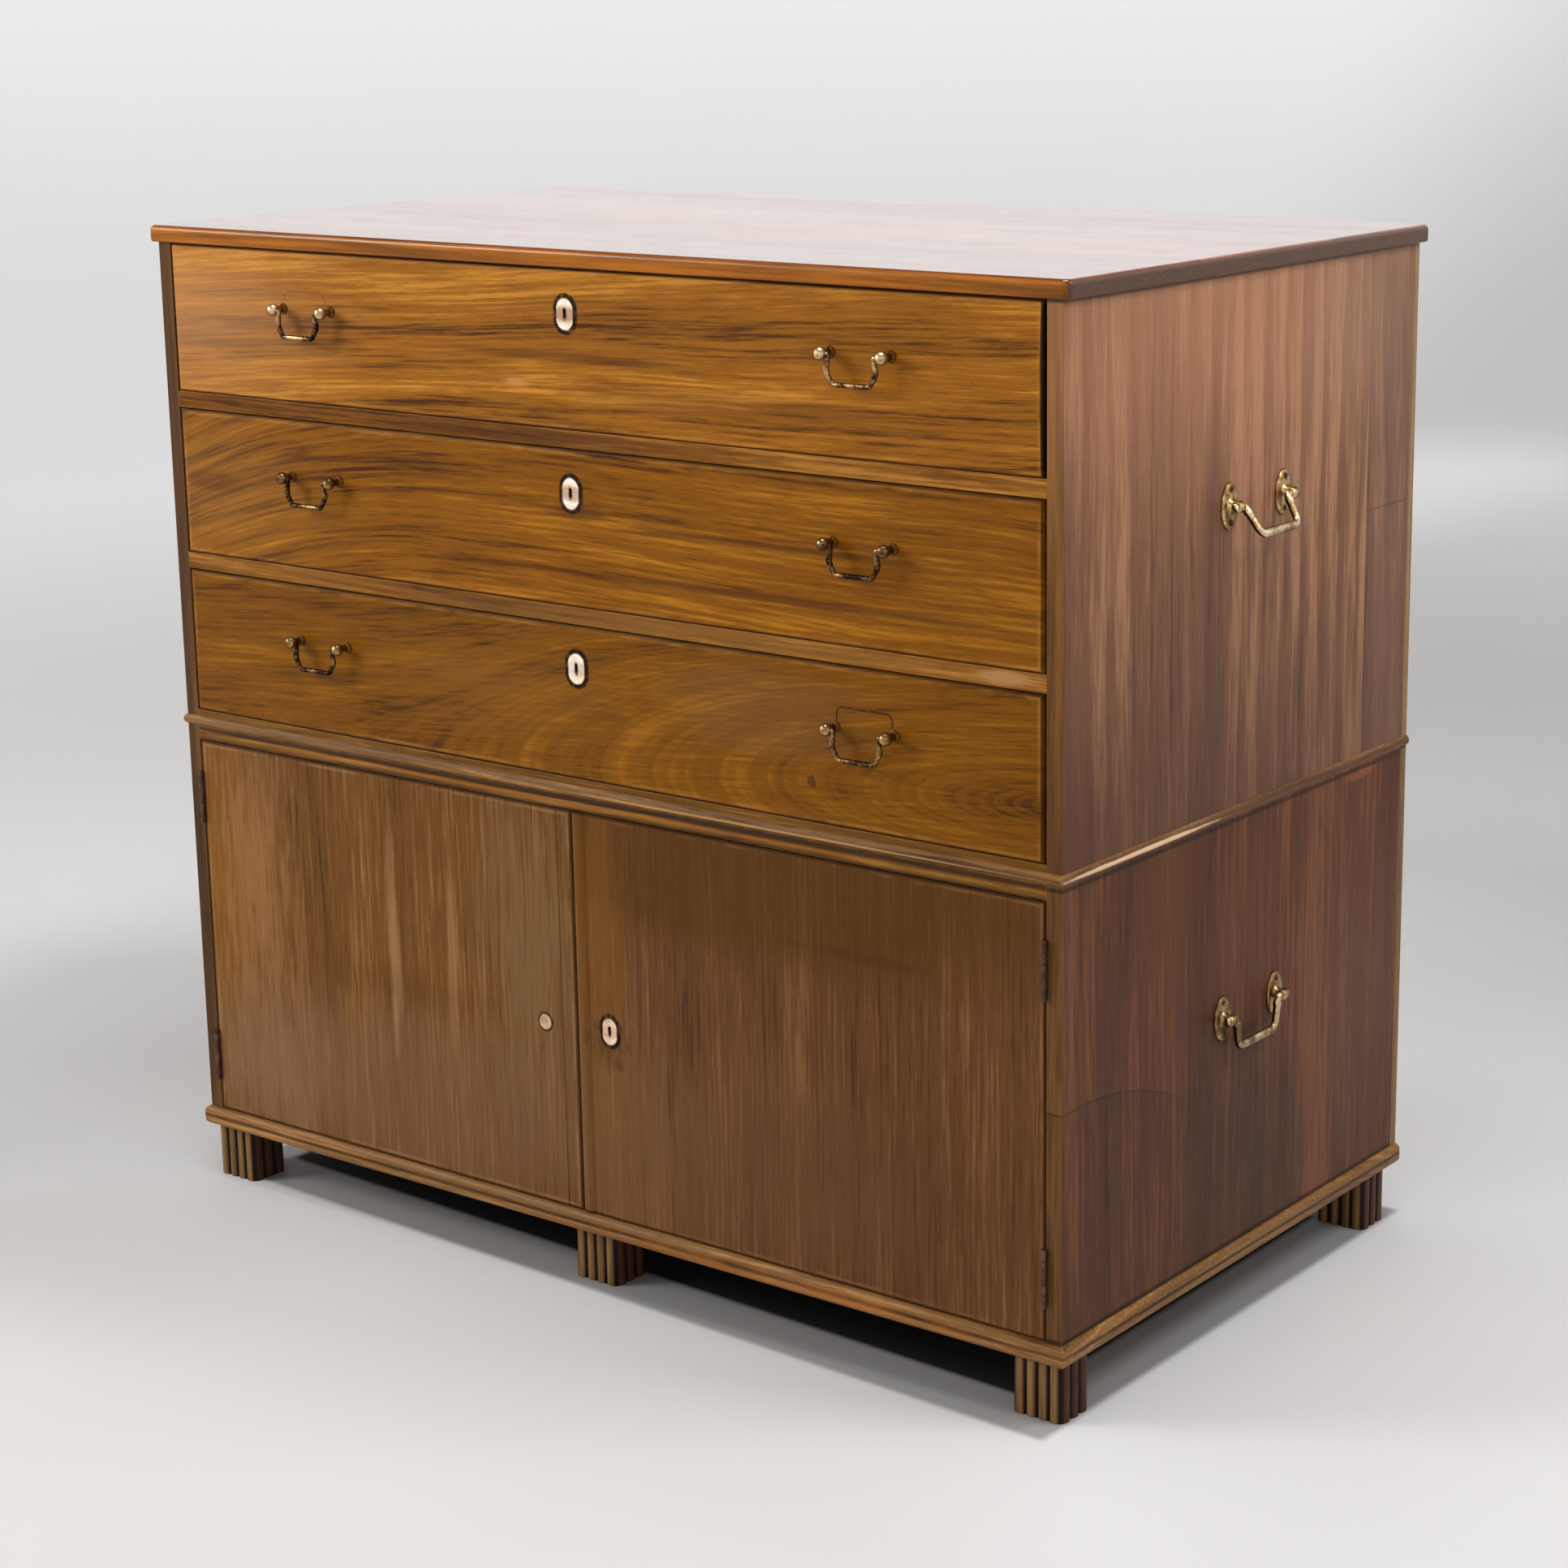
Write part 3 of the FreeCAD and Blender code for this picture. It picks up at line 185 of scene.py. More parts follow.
def buildWoodFigure(g, i):
    # Age is the distance from a heart line, sqrt(up * up + deep * deep), bent by a slow noise. Bands, streaks
    # and growth rings are noise and a saw of that age; fibre and pores run straight along the first axis.
    def grain(vector, label, detail, roughness, out=0):
        return g.noise(g.scaled(vector, grainScale[label]), 1, detail, roughness, out)

    wander = g.vector("SUBTRACT", grain(i["Vector"], "slow", 2, 0.5, 1), (0.5, 0.5, 0.5))
    x, y, z = g.parts(i["Vector"])
    _, wy, wz = g.parts(wander)
    up = g.minus(g.timesPlus(wy, i["Wander"], y), i["Heart Height"])
    deep = g.plus(g.timesPlus(wz, i["Wander"], z), i["Heart Depth"])
    age = g.math("SQRT", g.plus(g.times(up, up), g.times(deep, deep)))
    uneven = grain(i["Vector"], "uneven", 3, 0.6)
    turn = g.rest(g.timesPlus(uneven, 0.8, g.over(age, i["Ring Gap"])))
    ring = g.times(g.between(turn, 0, 0.72), g.between(turn, 1, 0.86))
    grown = g.joined(x, age, z)
    broad = grain(grown, "broad", 3, 0.55)
    streak = grain(grown, "streak", 5, 0.74)
    bent = g.vector("ADD", i["Vector"], g.scaled(wander, g.joined(0, i["Wander"], 0)))
    fibre = grain(bent, "fibre", 4, 0.7)
    pores = g.between(grain(bent, "pores", 1, 0.5), 0.57, 0.72)
    tone = g.timesPlus(g.between(broad, 0.3, 0.7), i["Broad"], i["Ground"])
    for share, label in ((streak, "Streak"), (ring, "Ring"), (fibre, "Fibre")):
        tone = g.swing(tone, share, i[label])
    return {"Tone": g.least(g.most(tone, 0), 1), "Pores": pores,
            "Height": g.timesPlus(pores, -0.6, fibre)}


woodFigure = makeGroup(
    "woodFigure", buildWoodFigure,
    dict(Vector="Vector",
         Float="Ring Gap, Heart Height, Heart Depth, Wander, Ground, Broad, Streak, Ring, Fibre"),
    dict(Float="Tone, Pores, Height"))


def buildThreeTone(g, i):
    # dark to middle over the lower half of the tone, middle to light over the upper half; pores darken it
    low = g.mix(g.between(i["Tone"], 0, 0.5), i["Dark"], i["Middle"])
    wood = g.mix(g.between(i["Tone"], 0.5, 1), low, i["Light"])
    deep = g.mix(1, wood, (0.42, 0.34, 0.3, 1), "MULTIPLY")
    return {"Colour": g.mix(g.times(i["Pores"], i["Pore Depth"]), wood, deep)}


threeTone = makeGroup(
    "threeTone", buildThreeTone, dict(Float="Tone, Pores, Pore Depth", Color="Dark, Middle, Light"),
    dict(Color="Colour"))


def buildSoftSpot(g, i):
    # 1 inside an ellipsoid round Centre, falling to 0 over Softness of its size; noise of Patch, so many per
    # metre along each axis, makes its edge uneven
    far = g.length(g.vector("DIVIDE", g.vector("SUBTRACT", i["Vector"], i["Centre"]), i["Size"]))
    rough = g.noise(g.scaled(i["Vector"], i["Patch"]), 1, 4, 0.6)
    return {"Mask": g.between(g.swing(far, rough, i["Uneven"]), 1, g.minus(1, i["Softness"]))}


softSpot = makeGroup("softSpot", buildSoftSpot,
                     dict(Vector="Vector, Centre, Size, Patch", Float="Softness, Uneven"), dict(Float="Mask"))


def buildLoopMark(g, i):
    # a thin line round a box with round corners, seen from the front: distance to that outline, under its
    # width; only the part higher than From above its middle shows
    x, _, z = g.parts(g.vector("SUBTRACT", i["Vector"], i["Centre"]))
    across, up = g.minus(g.size(x), i["Half Wide"]), g.minus(g.size(z), i["Half High"])
    outside = g.length(g.joined(g.most(across, 0), g.most(up, 0), 0))
    inside = g.least(g.most(across, up), 0)
    reach = g.size(g.minus(g.plus(outside, inside), i["Round"]))
    line = g.between(reach, i["Line"], g.times(i["Line"], 0.45))
    worn = g.between(g.noise(i["Vector"], 160, 3, 0.6), 0.25, 0.55)
    upper = g.between(z, g.minus(i["From"], 0.004), i["From"])
    return {"Mask": g.times(g.times(line, worn), upper)}


loopMark = makeGroup("loopMark", buildLoopMark,
                     dict(Vector="Vector, Centre", Float="Half Wide, Half High, Round, Line, From"),
                     dict(Float="Mask"))


def buildGapShadeAndHighlight(g, i):
    # distance to the nearest side of a front between Low and High: painted gap shade right at the side, a
    # painted highlight further in
    x, _, z = g.parts(i["Vector"])
    left, _, bottom = g.parts(i["Low"])
    right, _, top = g.parts(i["High"])
    across = g.least(g.minus(x, left), g.minus(right, x))
    up = g.least(g.minus(z, bottom), g.minus(top, z))
    near = g.least(across, up)
    worn = g.between(g.noise(i["Vector"], 16, 4, 0.65), 0.4, 0.6)
    pale = g.times(g.between(near, 0.0058, 0.0036), g.between(near, 0.0014, 0.003))
    return {"Dark": g.between(near, 0.0024, 0.0008), "Pale": g.times(pale, worn)}


gapShadeAndHighlight = makeGroup("gapShadeAndHighlight", buildGapShadeAndHighlight, dict(Vector="Vector, Low, High"), dict(Float="Dark, Pale"))


def buildEdgeWear(g, i):
    # where the rounded normal leaves the flat one the edge is near; noise breaks the rubbed line up
    flat = g.add("NewGeometry", {}, out=1)
    rounded = g.add("Bevel", {"Radius": i["Radius"]}, samples=4)
    near = g.vector("DOT_PRODUCT", rounded, flat, out=1)
    rub = g.between(g.noise(i["Vector"], 55, 4, 0.65), 0.38, 0.62)
    return {"Mask": g.times(g.between(near, 0.995, 0.84), g.timesPlus(rub, 0.75, 0.25)), "Normal": rounded}


edgeWear = makeGroup("edgeWear", buildEdgeWear, dict(Vector="Vector", Float="Radius"),
                     dict(Float="Mask", Vector="Normal"))


def buildHandling(g, i):
    # cloudy polish: broad smears and small dark specks
    smear = g.noise(g.scaled(i["Vector"], (30, 30, 7)), 1, 3, 0.5)
    specks = g.between(g.noise(i["Vector"], 260, 2, 0.5), 0.68, 0.76)
    return {"Cloud": g.noise(i["Vector"], 5, 5, 0.6), "Smear": smear, "Specks": specks}


handling = makeGroup("handling", buildHandling, dict(Vector="Vector"), dict(Float="Cloud, Smear, Specks"))
print("shared effects ready")


# Woods

plainWood = dict(
    grain="xzy", start=(0, 0, 0), slant=0, bow=None, boards=(), boardTones=(),
    dark=(70, 36, 14), middle=(140, 86, 36), light=(186, 126, 62), poreDepth=0.55, ringGap=0.006,
    heart=(-0.3, 0.06, 0, 0), wander=0.05, ground=0.5, broad=0.25, streak=0.8, ring=0.1, fibre=0.35,
    rough=0.36, shine=0.12, coat=0, coatRough=0.2, bump=0.25, wearRadius=0.0009, wear=0.4,
    wearColour=(206, 148, 88), cloud=0.12, specks=0.25, endGrain=None, frontEdge=None, spots=(), marks=(),
    tails=None, patch=(4, 40, 40), rim=None, flankShade=None, curve=None)
edgeFibre = dict(lying=(7, 90, 200), upright=(260, 260, 9))      # noise per metre on front edges
boardShift = dict(along=1.37, deep=0.43)      # how far apart in the tree two glued boards are cut


def spotMask(g, place, spot, patch):
    # 1 inside the spot, 0 outside it, with an uneven edge
    return g.group(softSpot, {
        "Vector": place, "Centre": spot["at"], "Size": spot["size"], "Softness": spot.get("soft", 0.6),
        "Uneven": spot.get("uneven", 0.8), "Patch": spot.get("patch", patch)})["Mask"]


def loopMask(g, place, at, half, bend, line, above=-1):
    # 1 on a thin line at the distance bend round a box of the given half width and half height
    return g.group(loopMark, {"Vector": place, "Centre": at, "Half Wide": half[0], "Half High": half[1],
                              "Round": bend, "Line": line, "From": above})["Mask"]


def dovetails(g, colour, tails, axes, sideways):
    # lapped dovetails: a slanting saw of width across the height, only on the ends of the front
    back = g.minus(axes["y"], tails["front"])
    step = g.rest(g.over(g.minus(axes["z"], tails["low"]), tails["pitch"]))
    half = g.size(g.minus(step, 0.5))
    reach = g.timesPlus(back, -4.5, 0.42)
    within = g.times(g.under(half, reach), g.past(back, 0))
    rim = g.between(g.size(g.minus(half, reach)), 0.03, 0)
    pale = g.mix(rim, paint(*tails["colour"]), paint(60, 34, 18))
    return g.mix(g.times(within, g.past(g.size(sideways), 0.7)), colour, pale)


def scratch(g, colour, curve, axes):
    # a scratch along height = top - bend * (y - start) * (y - start), darker below it
    away = g.minus(axes["y"], curve["start"])
    line = g.minus(g.timesPlus(g.times(away, away), curve["bend"], axes["z"]), curve["top"])
    front = g.between(axes["y"], curve["end"], curve["end"] - 0.08)
    shade = g.times(g.between(line, 0.001, -0.001), g.between(line, -0.09, 0))
    score = g.most(g.times(shade, 0.22), g.between(g.size(line), 0.0014, 0.0005, 0, 0.6))
    return g.mix(g.times(score, front), colour, paint(*curve["colour"]))


def sawnEdge(g, colour, shown, facing, figure, dark):
    # where the surface looks along an axis: the edge's own colour, times dark where the figure is low
    end = g.mix(figure, paint(*[v * dark for v in shown]), paint(*shown))
    return g.mix(g.between(g.size(facing), 0.6, 0.85), colour, end)


def woodMaterial(name, *looks):
    # plainWood changed by each of the looks in turn
    look = {key: value for changes in (plainWood, *looks) for key, value in changes.items()}
    material, g = newMaterial(name)
    place = g.place()
    axes = dict(zip("xyz", g.parts(place)))
    facing = dict(zip("xyz", g.facing()))
    along, across, deep = [axes[letter] for letter in look["grain"]]
    if look["boards"]:
        # glued boards: each one past a joint takes its figure from elsewhere in the tree, and its own tone
        crossed = [g.past(across, joint) for joint in look["boards"]]
        steps = np.diff(look["boardTones"]).tolist()
        count = reduce(g.plus, crossed)
        tones = reduce(g.plus, [g.times(past, step) for past, step in zip(crossed, steps)])
        seam = reduce(g.most, [g.between(g.size(g.minus(across, joint)), 0.0009, 0.0002)
                               for joint in look["boards"]])
        along = g.timesPlus(count, boardShift["along"], along)
        deep = g.timesPlus(count, boardShift["deep"], deep)
    if look["slant"]:
        across = g.timesPlus(along, -look["slant"], across)
    if look["bow"]:
        before = g.least(g.minus(along, look["bow"][0]), 0)
        across = g.timesPlus(g.times(before, before), look["bow"][1], across)
    height, depth, slope, slopeFrom = look["heart"]
    beyond = g.math("SMOOTH_MAX", g.minus(along, slopeFrom), 0, 0.2)
    figure = g.group(woodFigure, {
        "Vector": g.vector("ADD", g.joined(along, across, deep), look["start"]), "Ring Gap": look["ringGap"],
        "Heart Height": height, "Heart Depth": g.timesPlus(beyond, slope, depth),
        "Ground": look["ground"] - look["broad"] / 2,
        **{label.title(): look[label] for label in ("wander", "broad", "streak", "ring", "fibre")}})
    hand = g.group(handling, {"Vector": place})
    tone = g.swing(figure["Tone"], hand["Cloud"], look["cloud"] * 2)
    if look["boards"]:
        tone = g.plus(tone, g.plus(tones, look["boardTones"][0]))
    colour = g.group(threeTone, {
        "Tone": tone, "Pores": figure["Pores"], "Pore Depth": look["poreDepth"],
        **{label.title(): paint(*look[label]) for label in ("dark", "middle", "light")}})["Colour"]
    if look["boards"]:
        colour = g.stain(colour, seam, 0.55, (48, 24, 12))
    rough = g.swing(look["rough"], hand["Smear"], 0.16)
    if look["endGrain"]:
        dots = g.between(g.noise(place, 900, 2, 0.6), 0.35, 0.7)
        colour = sawnEdge(g, colour, look["endGrain"], facing[look["grain"][0]], dots, 0.72)
    if look["frontEdge"]:
        drawn = edgeFibre["lying" if look["grain"][0] == "x" else "upright"]
        fibres = g.between(g.noise(g.scaled(place, drawn), 1, 4, 0.6), 0.3, 0.7)
        colour = sawnEdge(g, colour, look["frontEdge"], facing["y"], fibres, 0.66)
    if look["tails"]:
        colour = dovetails(g, colour, look["tails"], axes, facing["x"])
    for spot in look["spots"]:
        mask = g.times(spotMask(g, place, spot, look["patch"]), spot["amount"])
        colour = g.mix(mask, colour, paint(*spot["colour"]))
        if "rough" in spot:
            rough = g.add("Mix", {0: mask, 2: rough, 3: spot["rough"]}, data_type="FLOAT")
    for shape, amount, shown in look["marks"]:
        colour = g.stain(colour, loopMask(g, place, **shape), amount, shown)
    if look["curve"]:
        colour = scratch(g, colour, look["curve"], axes)
    edge = g.group(edgeWear, {"Vector": place, "Radius": look["wearRadius"]})
    colour = g.stain(colour, edge["Mask"], look["wear"], look["wearColour"])
    colour = g.stain(colour, hand["Specks"], look["specks"], (52, 28, 16))
    # painted shade in the gap round a front, and a painted highlight a little further in, in the colour of
    # worn wood
    if look["rim"]:
        rim = look["rim"]
        lines = g.group(gapShadeAndHighlight, {"Vector": place, "Low": rim["low"], "High": rim["high"]})
        toFront = g.between(facing["y"], -0.4, -0.8)
        colour = g.stain(colour, g.times(lines["Pale"], toFront), rim["pale"], look["wearColour"])
        colour = g.stain(colour, g.times(lines["Dark"], toFront), rim["dark"], (34, 18, 8))
    if look["flankShade"]:
        # the sides of the reeds look along neither axis
        flank = g.least(g.size(facing["x"]), g.size(facing["y"]))
        colour = g.mix(g.between(flank, 0.3, 0.66), colour, paint(*look["flankShade"]))
    coat = look["coat"]
    if coat:
        # polish on the upward face only, a little uneven from board to board
        bands = g.noise(g.scaled(place, (1.5, 13, 1)), 1, 3, 0.6)
        coat = g.times(g.between(facing["z"], 0.6, 0.98, 0, coat), g.between(bands, 0.3, 0.7, 0.8, 1))
    g.surface({"Base Color": colour, "Roughness": rough, "Coat Weight": coat, "IOR": 1.5,
               "Normal": g.bump(look["bump"], 0.0004, figure["Height"], edge["Normal"]),
               "Coat Roughness": look["coatRough"], "Specular IOR Level": look["shine"]})
    return material


def dress(names, material):
    # every slot of these CAD nodes takes the material
    for name in names:
        for slot in cadNodes[name].material_slots:
            slot.material = material


def spotAt(at, size, amount, colour, **more):
    # a patch of colour: middle, half sizes and strength; more may name soft, uneven, patch and rough
    return dict(at=at, size=size, amount=amount, colour=colour, **more)


def frontSpot(x, z, wide, high, amount, colour, deep=0.05, **more):
    # a spot on the front plane
    return spotAt((x, frontPlane, z), (wide, deep, high), amount, colour, **more)


def sideSpot(y, z, deep, high, amount, colour, wide=0.3, **more):
    # a spot on the right side
    return spotAt((sidePlane, y, z), (wide, deep, high), amount, colour, **more)


def ringMark(x, z, half, bend, line, amount, colour, above=-1):
    # a thin dark line round something on the front, or round where it was
    return dict(at=(x, frontPlane, z), half=half, bend=bend, line=line, above=above), amount, colour


def plateDirtAndShade(case, amount, colour):
    # dirt that polishing leaves round the plates of a lifting handle, with painted shade round them
    return [spotAt((0, y, platesZ[case]), (2, 0.0158, 0.0232), amount, colour, uneven=0.3, soft=0.35,
                   patch=(60, 60, 60)) for y in platesY]


# Fronts of the drawers: spots are frontSpot(x, z, half width, half height, strength, colour)

front = dict(left=-0.4904, right=0.4746, high=0.1353, tailsFrom=0.006, tailPitch=0.0205, tailFront=-0.2688)
drawerLook = dict(rough=0.34, shine=0.1, wear=0.45, wearColour=(196, 134, 66), dark=(77, 40, 7),
                  middle=(149, 92, 18), light=(199, 133, 44), fibre=1.2)
drawerChanges = {
    1: dict(
        start=(0, 0, -frontPlane), slant=0.06, ground=0.53, broad=0.55, streak=1.9, wander=0.075,
        heart=(0.52, 0.06, 0, 0),
        # the first spot is a painted sheen at the left end
        spots=(frontSpot(-0.5, 0.85, 0.3, 0.12, 0.5, (200, 144, 94), deep=0.1, uneven=0.5, soft=1),
               frontSpot(0.14, 0.81, 0.24, 0.016, 0.35, (88, 48, 14)),
               # painted shade in the gap at the right end
               frontSpot(0.475, 0.845, 0.0042, 0.085, 0.95, (26, 12, 5), uneven=0.2, soft=0.3),
               frontSpot(-0.02, 0.838, 0.17, 0.006, 0.55, (92, 48, 14)),
               frontSpot(-0.065, 0.813, 0.018, 0.0045, 0.55, (204, 146, 92), uneven=1.6,
                         patch=(60, 90, 120))),
        marks=(ringMark(-0.318, 0.86, (0.018, 0.008), 0.008, 0.0011, 0.4, (84, 50, 18), above=0.008),)),
    2: dict(
        start=(2.1, 0, -frontPlane), slant=-0.03, bow=(-0.15, 0.6), ground=0.48, broad=0.5, streak=1.9,
        heart=(0.36, 0.06, 0, 0), wander=0.06, dark=(70, 35, 1), middle=(132, 79, 5), light=(179, 117, 22),
        # the first spot is a painted sheen at the left end
        spots=(frontSpot(-0.47, 0.69, 0.24, 0.12, 0.22, (186, 132, 70), deep=0.1, uneven=0.5, soft=1),
               frontSpot(0.4, 0.69, 0.34, 0.12, 0.25, (92, 50, 8), deep=0.1, uneven=0.5, soft=1),
               frontSpot(0.22, 0.655, 0.3, 0.005, 0.65, (74, 38, 10)),
               frontSpot(0.19, 0.697, 0.2, 0.005, 0.6, (76, 40, 10)),
               frontSpot(-0.45, 0.695, 0.06, 0.012, 0.45, (78, 42, 14)),
               frontSpot(0, 0.706, 0.045, 0.009, 0.6, (72, 38, 14)))),
    3: dict(
        start=(0, 0, -frontPlane), slant=0.08, broad=0.35, streak=1.5, ringGap=0.0034, wander=0.03,
        heart=(0.484, 0.13, -0.185, -0.2), dark=(60, 32, 1), middle=(118, 71, 2), light=(155, 99, 14),
        spots=(frontSpot(0.247, 0.507, 0.006, 0.007, 0.7, (60, 34, 12), patch=(90, 90, 90)),
               frontSpot(0.01, 0.535, 0.06, 0.012, 0.25, (70, 40, 10)),
               frontSpot(-0.1, 0.545, 0.2, 0.06, 0.3, (146, 94, 34), soft=1),
               frontSpot(0.2, 0.56, 0.14, 0.05, 0.3, (118, 86, 48))),
        marks=(ringMark(0.302, 0.556, (0.022, 0.011), 0.006, 0.0013, 0.85, (46, 26, 10), above=0.008),))}
for number, changes in drawerChanges.items():
    low = drawerLow[number]
    # dirt and painted shade in the gap round the escutcheon
    aroundKeyhole = ringMark(caseMiddle, low + escutcheonUp, (0, 0.0043), 0.0109, 0.0034, 1, (24, 9, 0))
    dress([f"drawer_{number}_front"], woodMaterial(f"drawerWood{number}", drawerLook, changes, dict(
        marks=(*changes.get("marks", ()), aroundKeyhole),
        # rim: painted shade in the gap round the front and a painted highlight just inside it
        rim=dict(low=(front["left"], 0, low), high=(front["right"], 0, low + front["high"]), pale=0.3,
                 dark=0.8),
        tails=dict(low=low + front["tailsFrom"], pitch=front["tailPitch"], front=front["tailFront"],
                   colour=(176, 128, 78)))))

# Doors

doorLook = dict(grain="zxy", rough=0.4, wear=0.35, wander=0.012, heart=(-0.9, 0.06, 0, 0), fibre=1.4,
                shine=0.08, patch=(120, 120, 6))
dress(["door_left"], woodMaterial("doorLeftWood", doorLook, dict(
    start=(0.3, 0.2, 0), dark=(64, 38, 12), middle=(108, 69, 28), light=(148, 103, 56), broad=0.2, streak=0.7,
    wearColour=(168, 126, 84),
    # dirt and painted shade in the gap round the button
    marks=(ringMark(-0.0576, 0.242, (0, 0), 0.0074, 0.0024, 0.8, (34, 18, 8)),),
    # rim: painted shade in the gap round the door and a painted highlight just inside it
    rim=dict(low=(-0.4901, 0, 0.072), high=(-0.0209, 0, 0.4415), pale=0.35, dark=0.7),
    spots=(frontSpot(-0.48, 0.32, 0.13, 0.2, 0.6, (134, 84, 18), uneven=0.5, soft=1),
           frontSpot(-0.425, 0.32, 0.07, 0.22, 0.42, (162, 120, 80), uneven=2.4, patch=(220, 220, 22),
                     soft=1),
           frontSpot(-0.244, 0.28, 0.009, 0.14, 0.6, (164, 122, 82), uneven=1.6, patch=(160, 160, 10)),
           frontSpot(-0.17, 0.27, 0.008, 0.1, 0.5, (156, 116, 76), uneven=1.8, patch=(160, 160, 10)),
           frontSpot(-0.065, 0.3, 0.1, 0.22, 0.45, (132, 104, 70), uneven=2.6, patch=(190, 190, 14),
                     soft=1, rough=0.6),
           frontSpot(-0.43, 0.13, 0.16, 0.13, 0.5, (148, 112, 80), uneven=1.6, patch=(110, 110, 16),
                     soft=1),
           frontSpot(-0.2, 0.14, 0.34, 0.11, 0.4, (122, 90, 66)),
           frontSpot(-0.245, 0.242, 0.17, 0.03, 0.25, (84, 50, 12), patch=(30, 40, 20), soft=1)))))
dress(["door_right"], woodMaterial("doorRightWood", doorLook, dict(
    start=(0.9, 1.7, 0.6), dark=(56, 33, 15), middle=(99, 63, 33), light=(134, 92, 56), broad=0.3, streak=0.9,
    wearColour=(150, 108, 66),
    # dirt and painted shade in the gap round the escutcheon
    marks=(ringMark(*doorEscutcheon, (0, 0.00375), 0.0098, 0.0032, 1, (28, 12, 2)),),
    # rim: painted shade in the gap round the door and a painted highlight just inside it
    rim=dict(low=(-0.0197, 0, 0.072), high=(0.4769, 0, 0.4415), pale=0.3, dark=0.75),
    spots=(frontSpot(0.16, 0.42, 0.46, 0.11, 0.72, (84, 50, 5), uneven=0.5, patch=(5, 20, 20), soft=0.5),
           frontSpot(0.3, 0.364, 0.12, 0.008, 0.3, (60, 34, 10), patch=(10, 40, 40), soft=1),
           frontSpot(0, 0.3, 0.055, 0.22, 0.5, (122, 78, 24), uneven=1.4),
           frontSpot(0.02, 0.15, 0.14, 0.14, 0.45, (122, 86, 50), uneven=1.6),
           frontSpot(0.2, 0.16, 0.2, 0.12, 0.3, (116, 82, 54), uneven=1.6),
           frontSpot(0.3, 0.14, 0.3, 0.12, 0.3, (82, 50, 32)),
           frontSpot(0.018, 0.235, 0.035, 0.035, 0.5, (58, 32, 14), uneven=3, patch=(160, 160, 90),
                     soft=1)))))

# Sides: spots are sideSpot(y, z, half depth, half height, strength, colour)

sideLook = dict(grain="zyx", rough=0.34, shine=0.2, boards=(-0.043, 0.2075), wear=0.25, wearRadius=0.0008,
                frontEdge=(132, 84, 26), endGrain=(92, 56, 34), wander=0.03, fibre=1.1, dark=(61, 36, 23),
                middle=(115, 75, 50), light=(160, 114, 81), patch=(10, 50, 4))
dress(["upper_side_left", "upper_side_right"], woodMaterial("upperSideWood", sideLook, dict(
    start=(0.2, 0, 0.1), boardTones=(0, 0.17, -0.08), broad=0.4, streak=1.5, ring=0.26, ringGap=0.019,
    heart=(-0.7, 0.1, 0, 0),
    # the first spot is painted light at the top
    spots=(sideSpot(-0.08, 0.93, 0.5, 0.3, 0.5, (192, 136, 98), soft=1, uneven=0.3),
           *plateDirtAndShade("upper", 0.55, (52, 28, 14)),
           # painted shade on the lower part and its front board
           sideSpot(-0.02, 0.45, 0.6, 0.26, 0.62, (70, 42, 26), soft=1, uneven=0.3),
           sideSpot(-0.25, 0.48, 0.13, 0.14, 0.5, (72, 34, 8), soft=1),
           sideSpot(0.2, 0.87, 0.16, 0.16, 0.35, (156, 122, 102), uneven=0.5, soft=1),
           sideSpot(0.26, 0.66, 0.07, 0.34, 0.4, (104, 80, 68), wide=0.2),
           sideSpot(-0.055, 0.6, 0.022, 0.3, 0.35, (66, 42, 34), wide=0.2),
           frontSpot(-0.505, 0.69, 0.02, 0.5, 0.75, (58, 32, 12), deep=0.012, uneven=0.3),
           sideSpot(0.25, 0.685, 0.06, 0.0014, 0.5, (58, 34, 22), wide=0.2, uneven=0.4),
           # painted shade under the top board
           sideSpot(-0.05, 0.9125, 0.6, 0.004, 0.75, (36, 20, 12), wide=0.2, uneven=0.1)))))
dress(["lower_side_left", "lower_side_right"], woodMaterial("lowerSideWood", sideLook, dict(
    start=(1.4, 0.3, 0.6), boards=(-0.043, 0.085), boardTones=(0, 0.02, 0.14), ground=0.49, broad=0.35,
    streak=1.3, heart=(-0.8, 0.12, 0, 0), dark=(46, 25, 13), middle=(80, 46, 27), light=(116, 71, 42),
    frontEdge=(118, 78, 38), shine=0.12, rough=0.4,
    curve=dict(start=-0.25, top=0.268, bend=1.57, end=-0.06, colour=(34, 18, 10)),
    spots=(sideSpot(0, 0.36, 0.09, 0.1, 0.35, (88, 56, 34)),
           *plateDirtAndShade("lower", 0.5, (24, 12, 6)),
           sideSpot(-0.12, 0.4, 0.05, 0.16, 0.35, (100, 58, 24), uneven=0.9),
           # painted shade towards the bottom
           sideSpot(-0.1, 0.12, 0.3, 0.14, 0.25, (58, 32, 16)),
           sideSpot(0.22, 0.27, 0.14, 0.2, 0.35, (112, 80, 64), soft=1),
           # painted shade towards the bottom
           sideSpot(0.02, 0.16, 0.15, 0.17, 0.58, (52, 32, 24), uneven=0.6, soft=1),
           frontSpot(-0.505, 0.25, 0.02, 0.3, 0.75, (56, 34, 10), deep=0.012, uneven=0.3),
           sideSpot(0.205, 0.4475, 0.035, 0.006, 0.5, (146, 82, 52), wide=0.2, uneven=1,
                    patch=(10, 60, 60)),
           # painted shade under the waist bead and above the base bead
           sideSpot(-0.05, 0.4525, 0.6, 0.003, 0.7, (30, 16, 8), wide=0.2, uneven=0.1),
           sideSpot(-0.05, 0.073, 0.6, 0.003, 0.75, (30, 16, 8), wide=0.2, uneven=0.1)))))

# Top, beads and rails

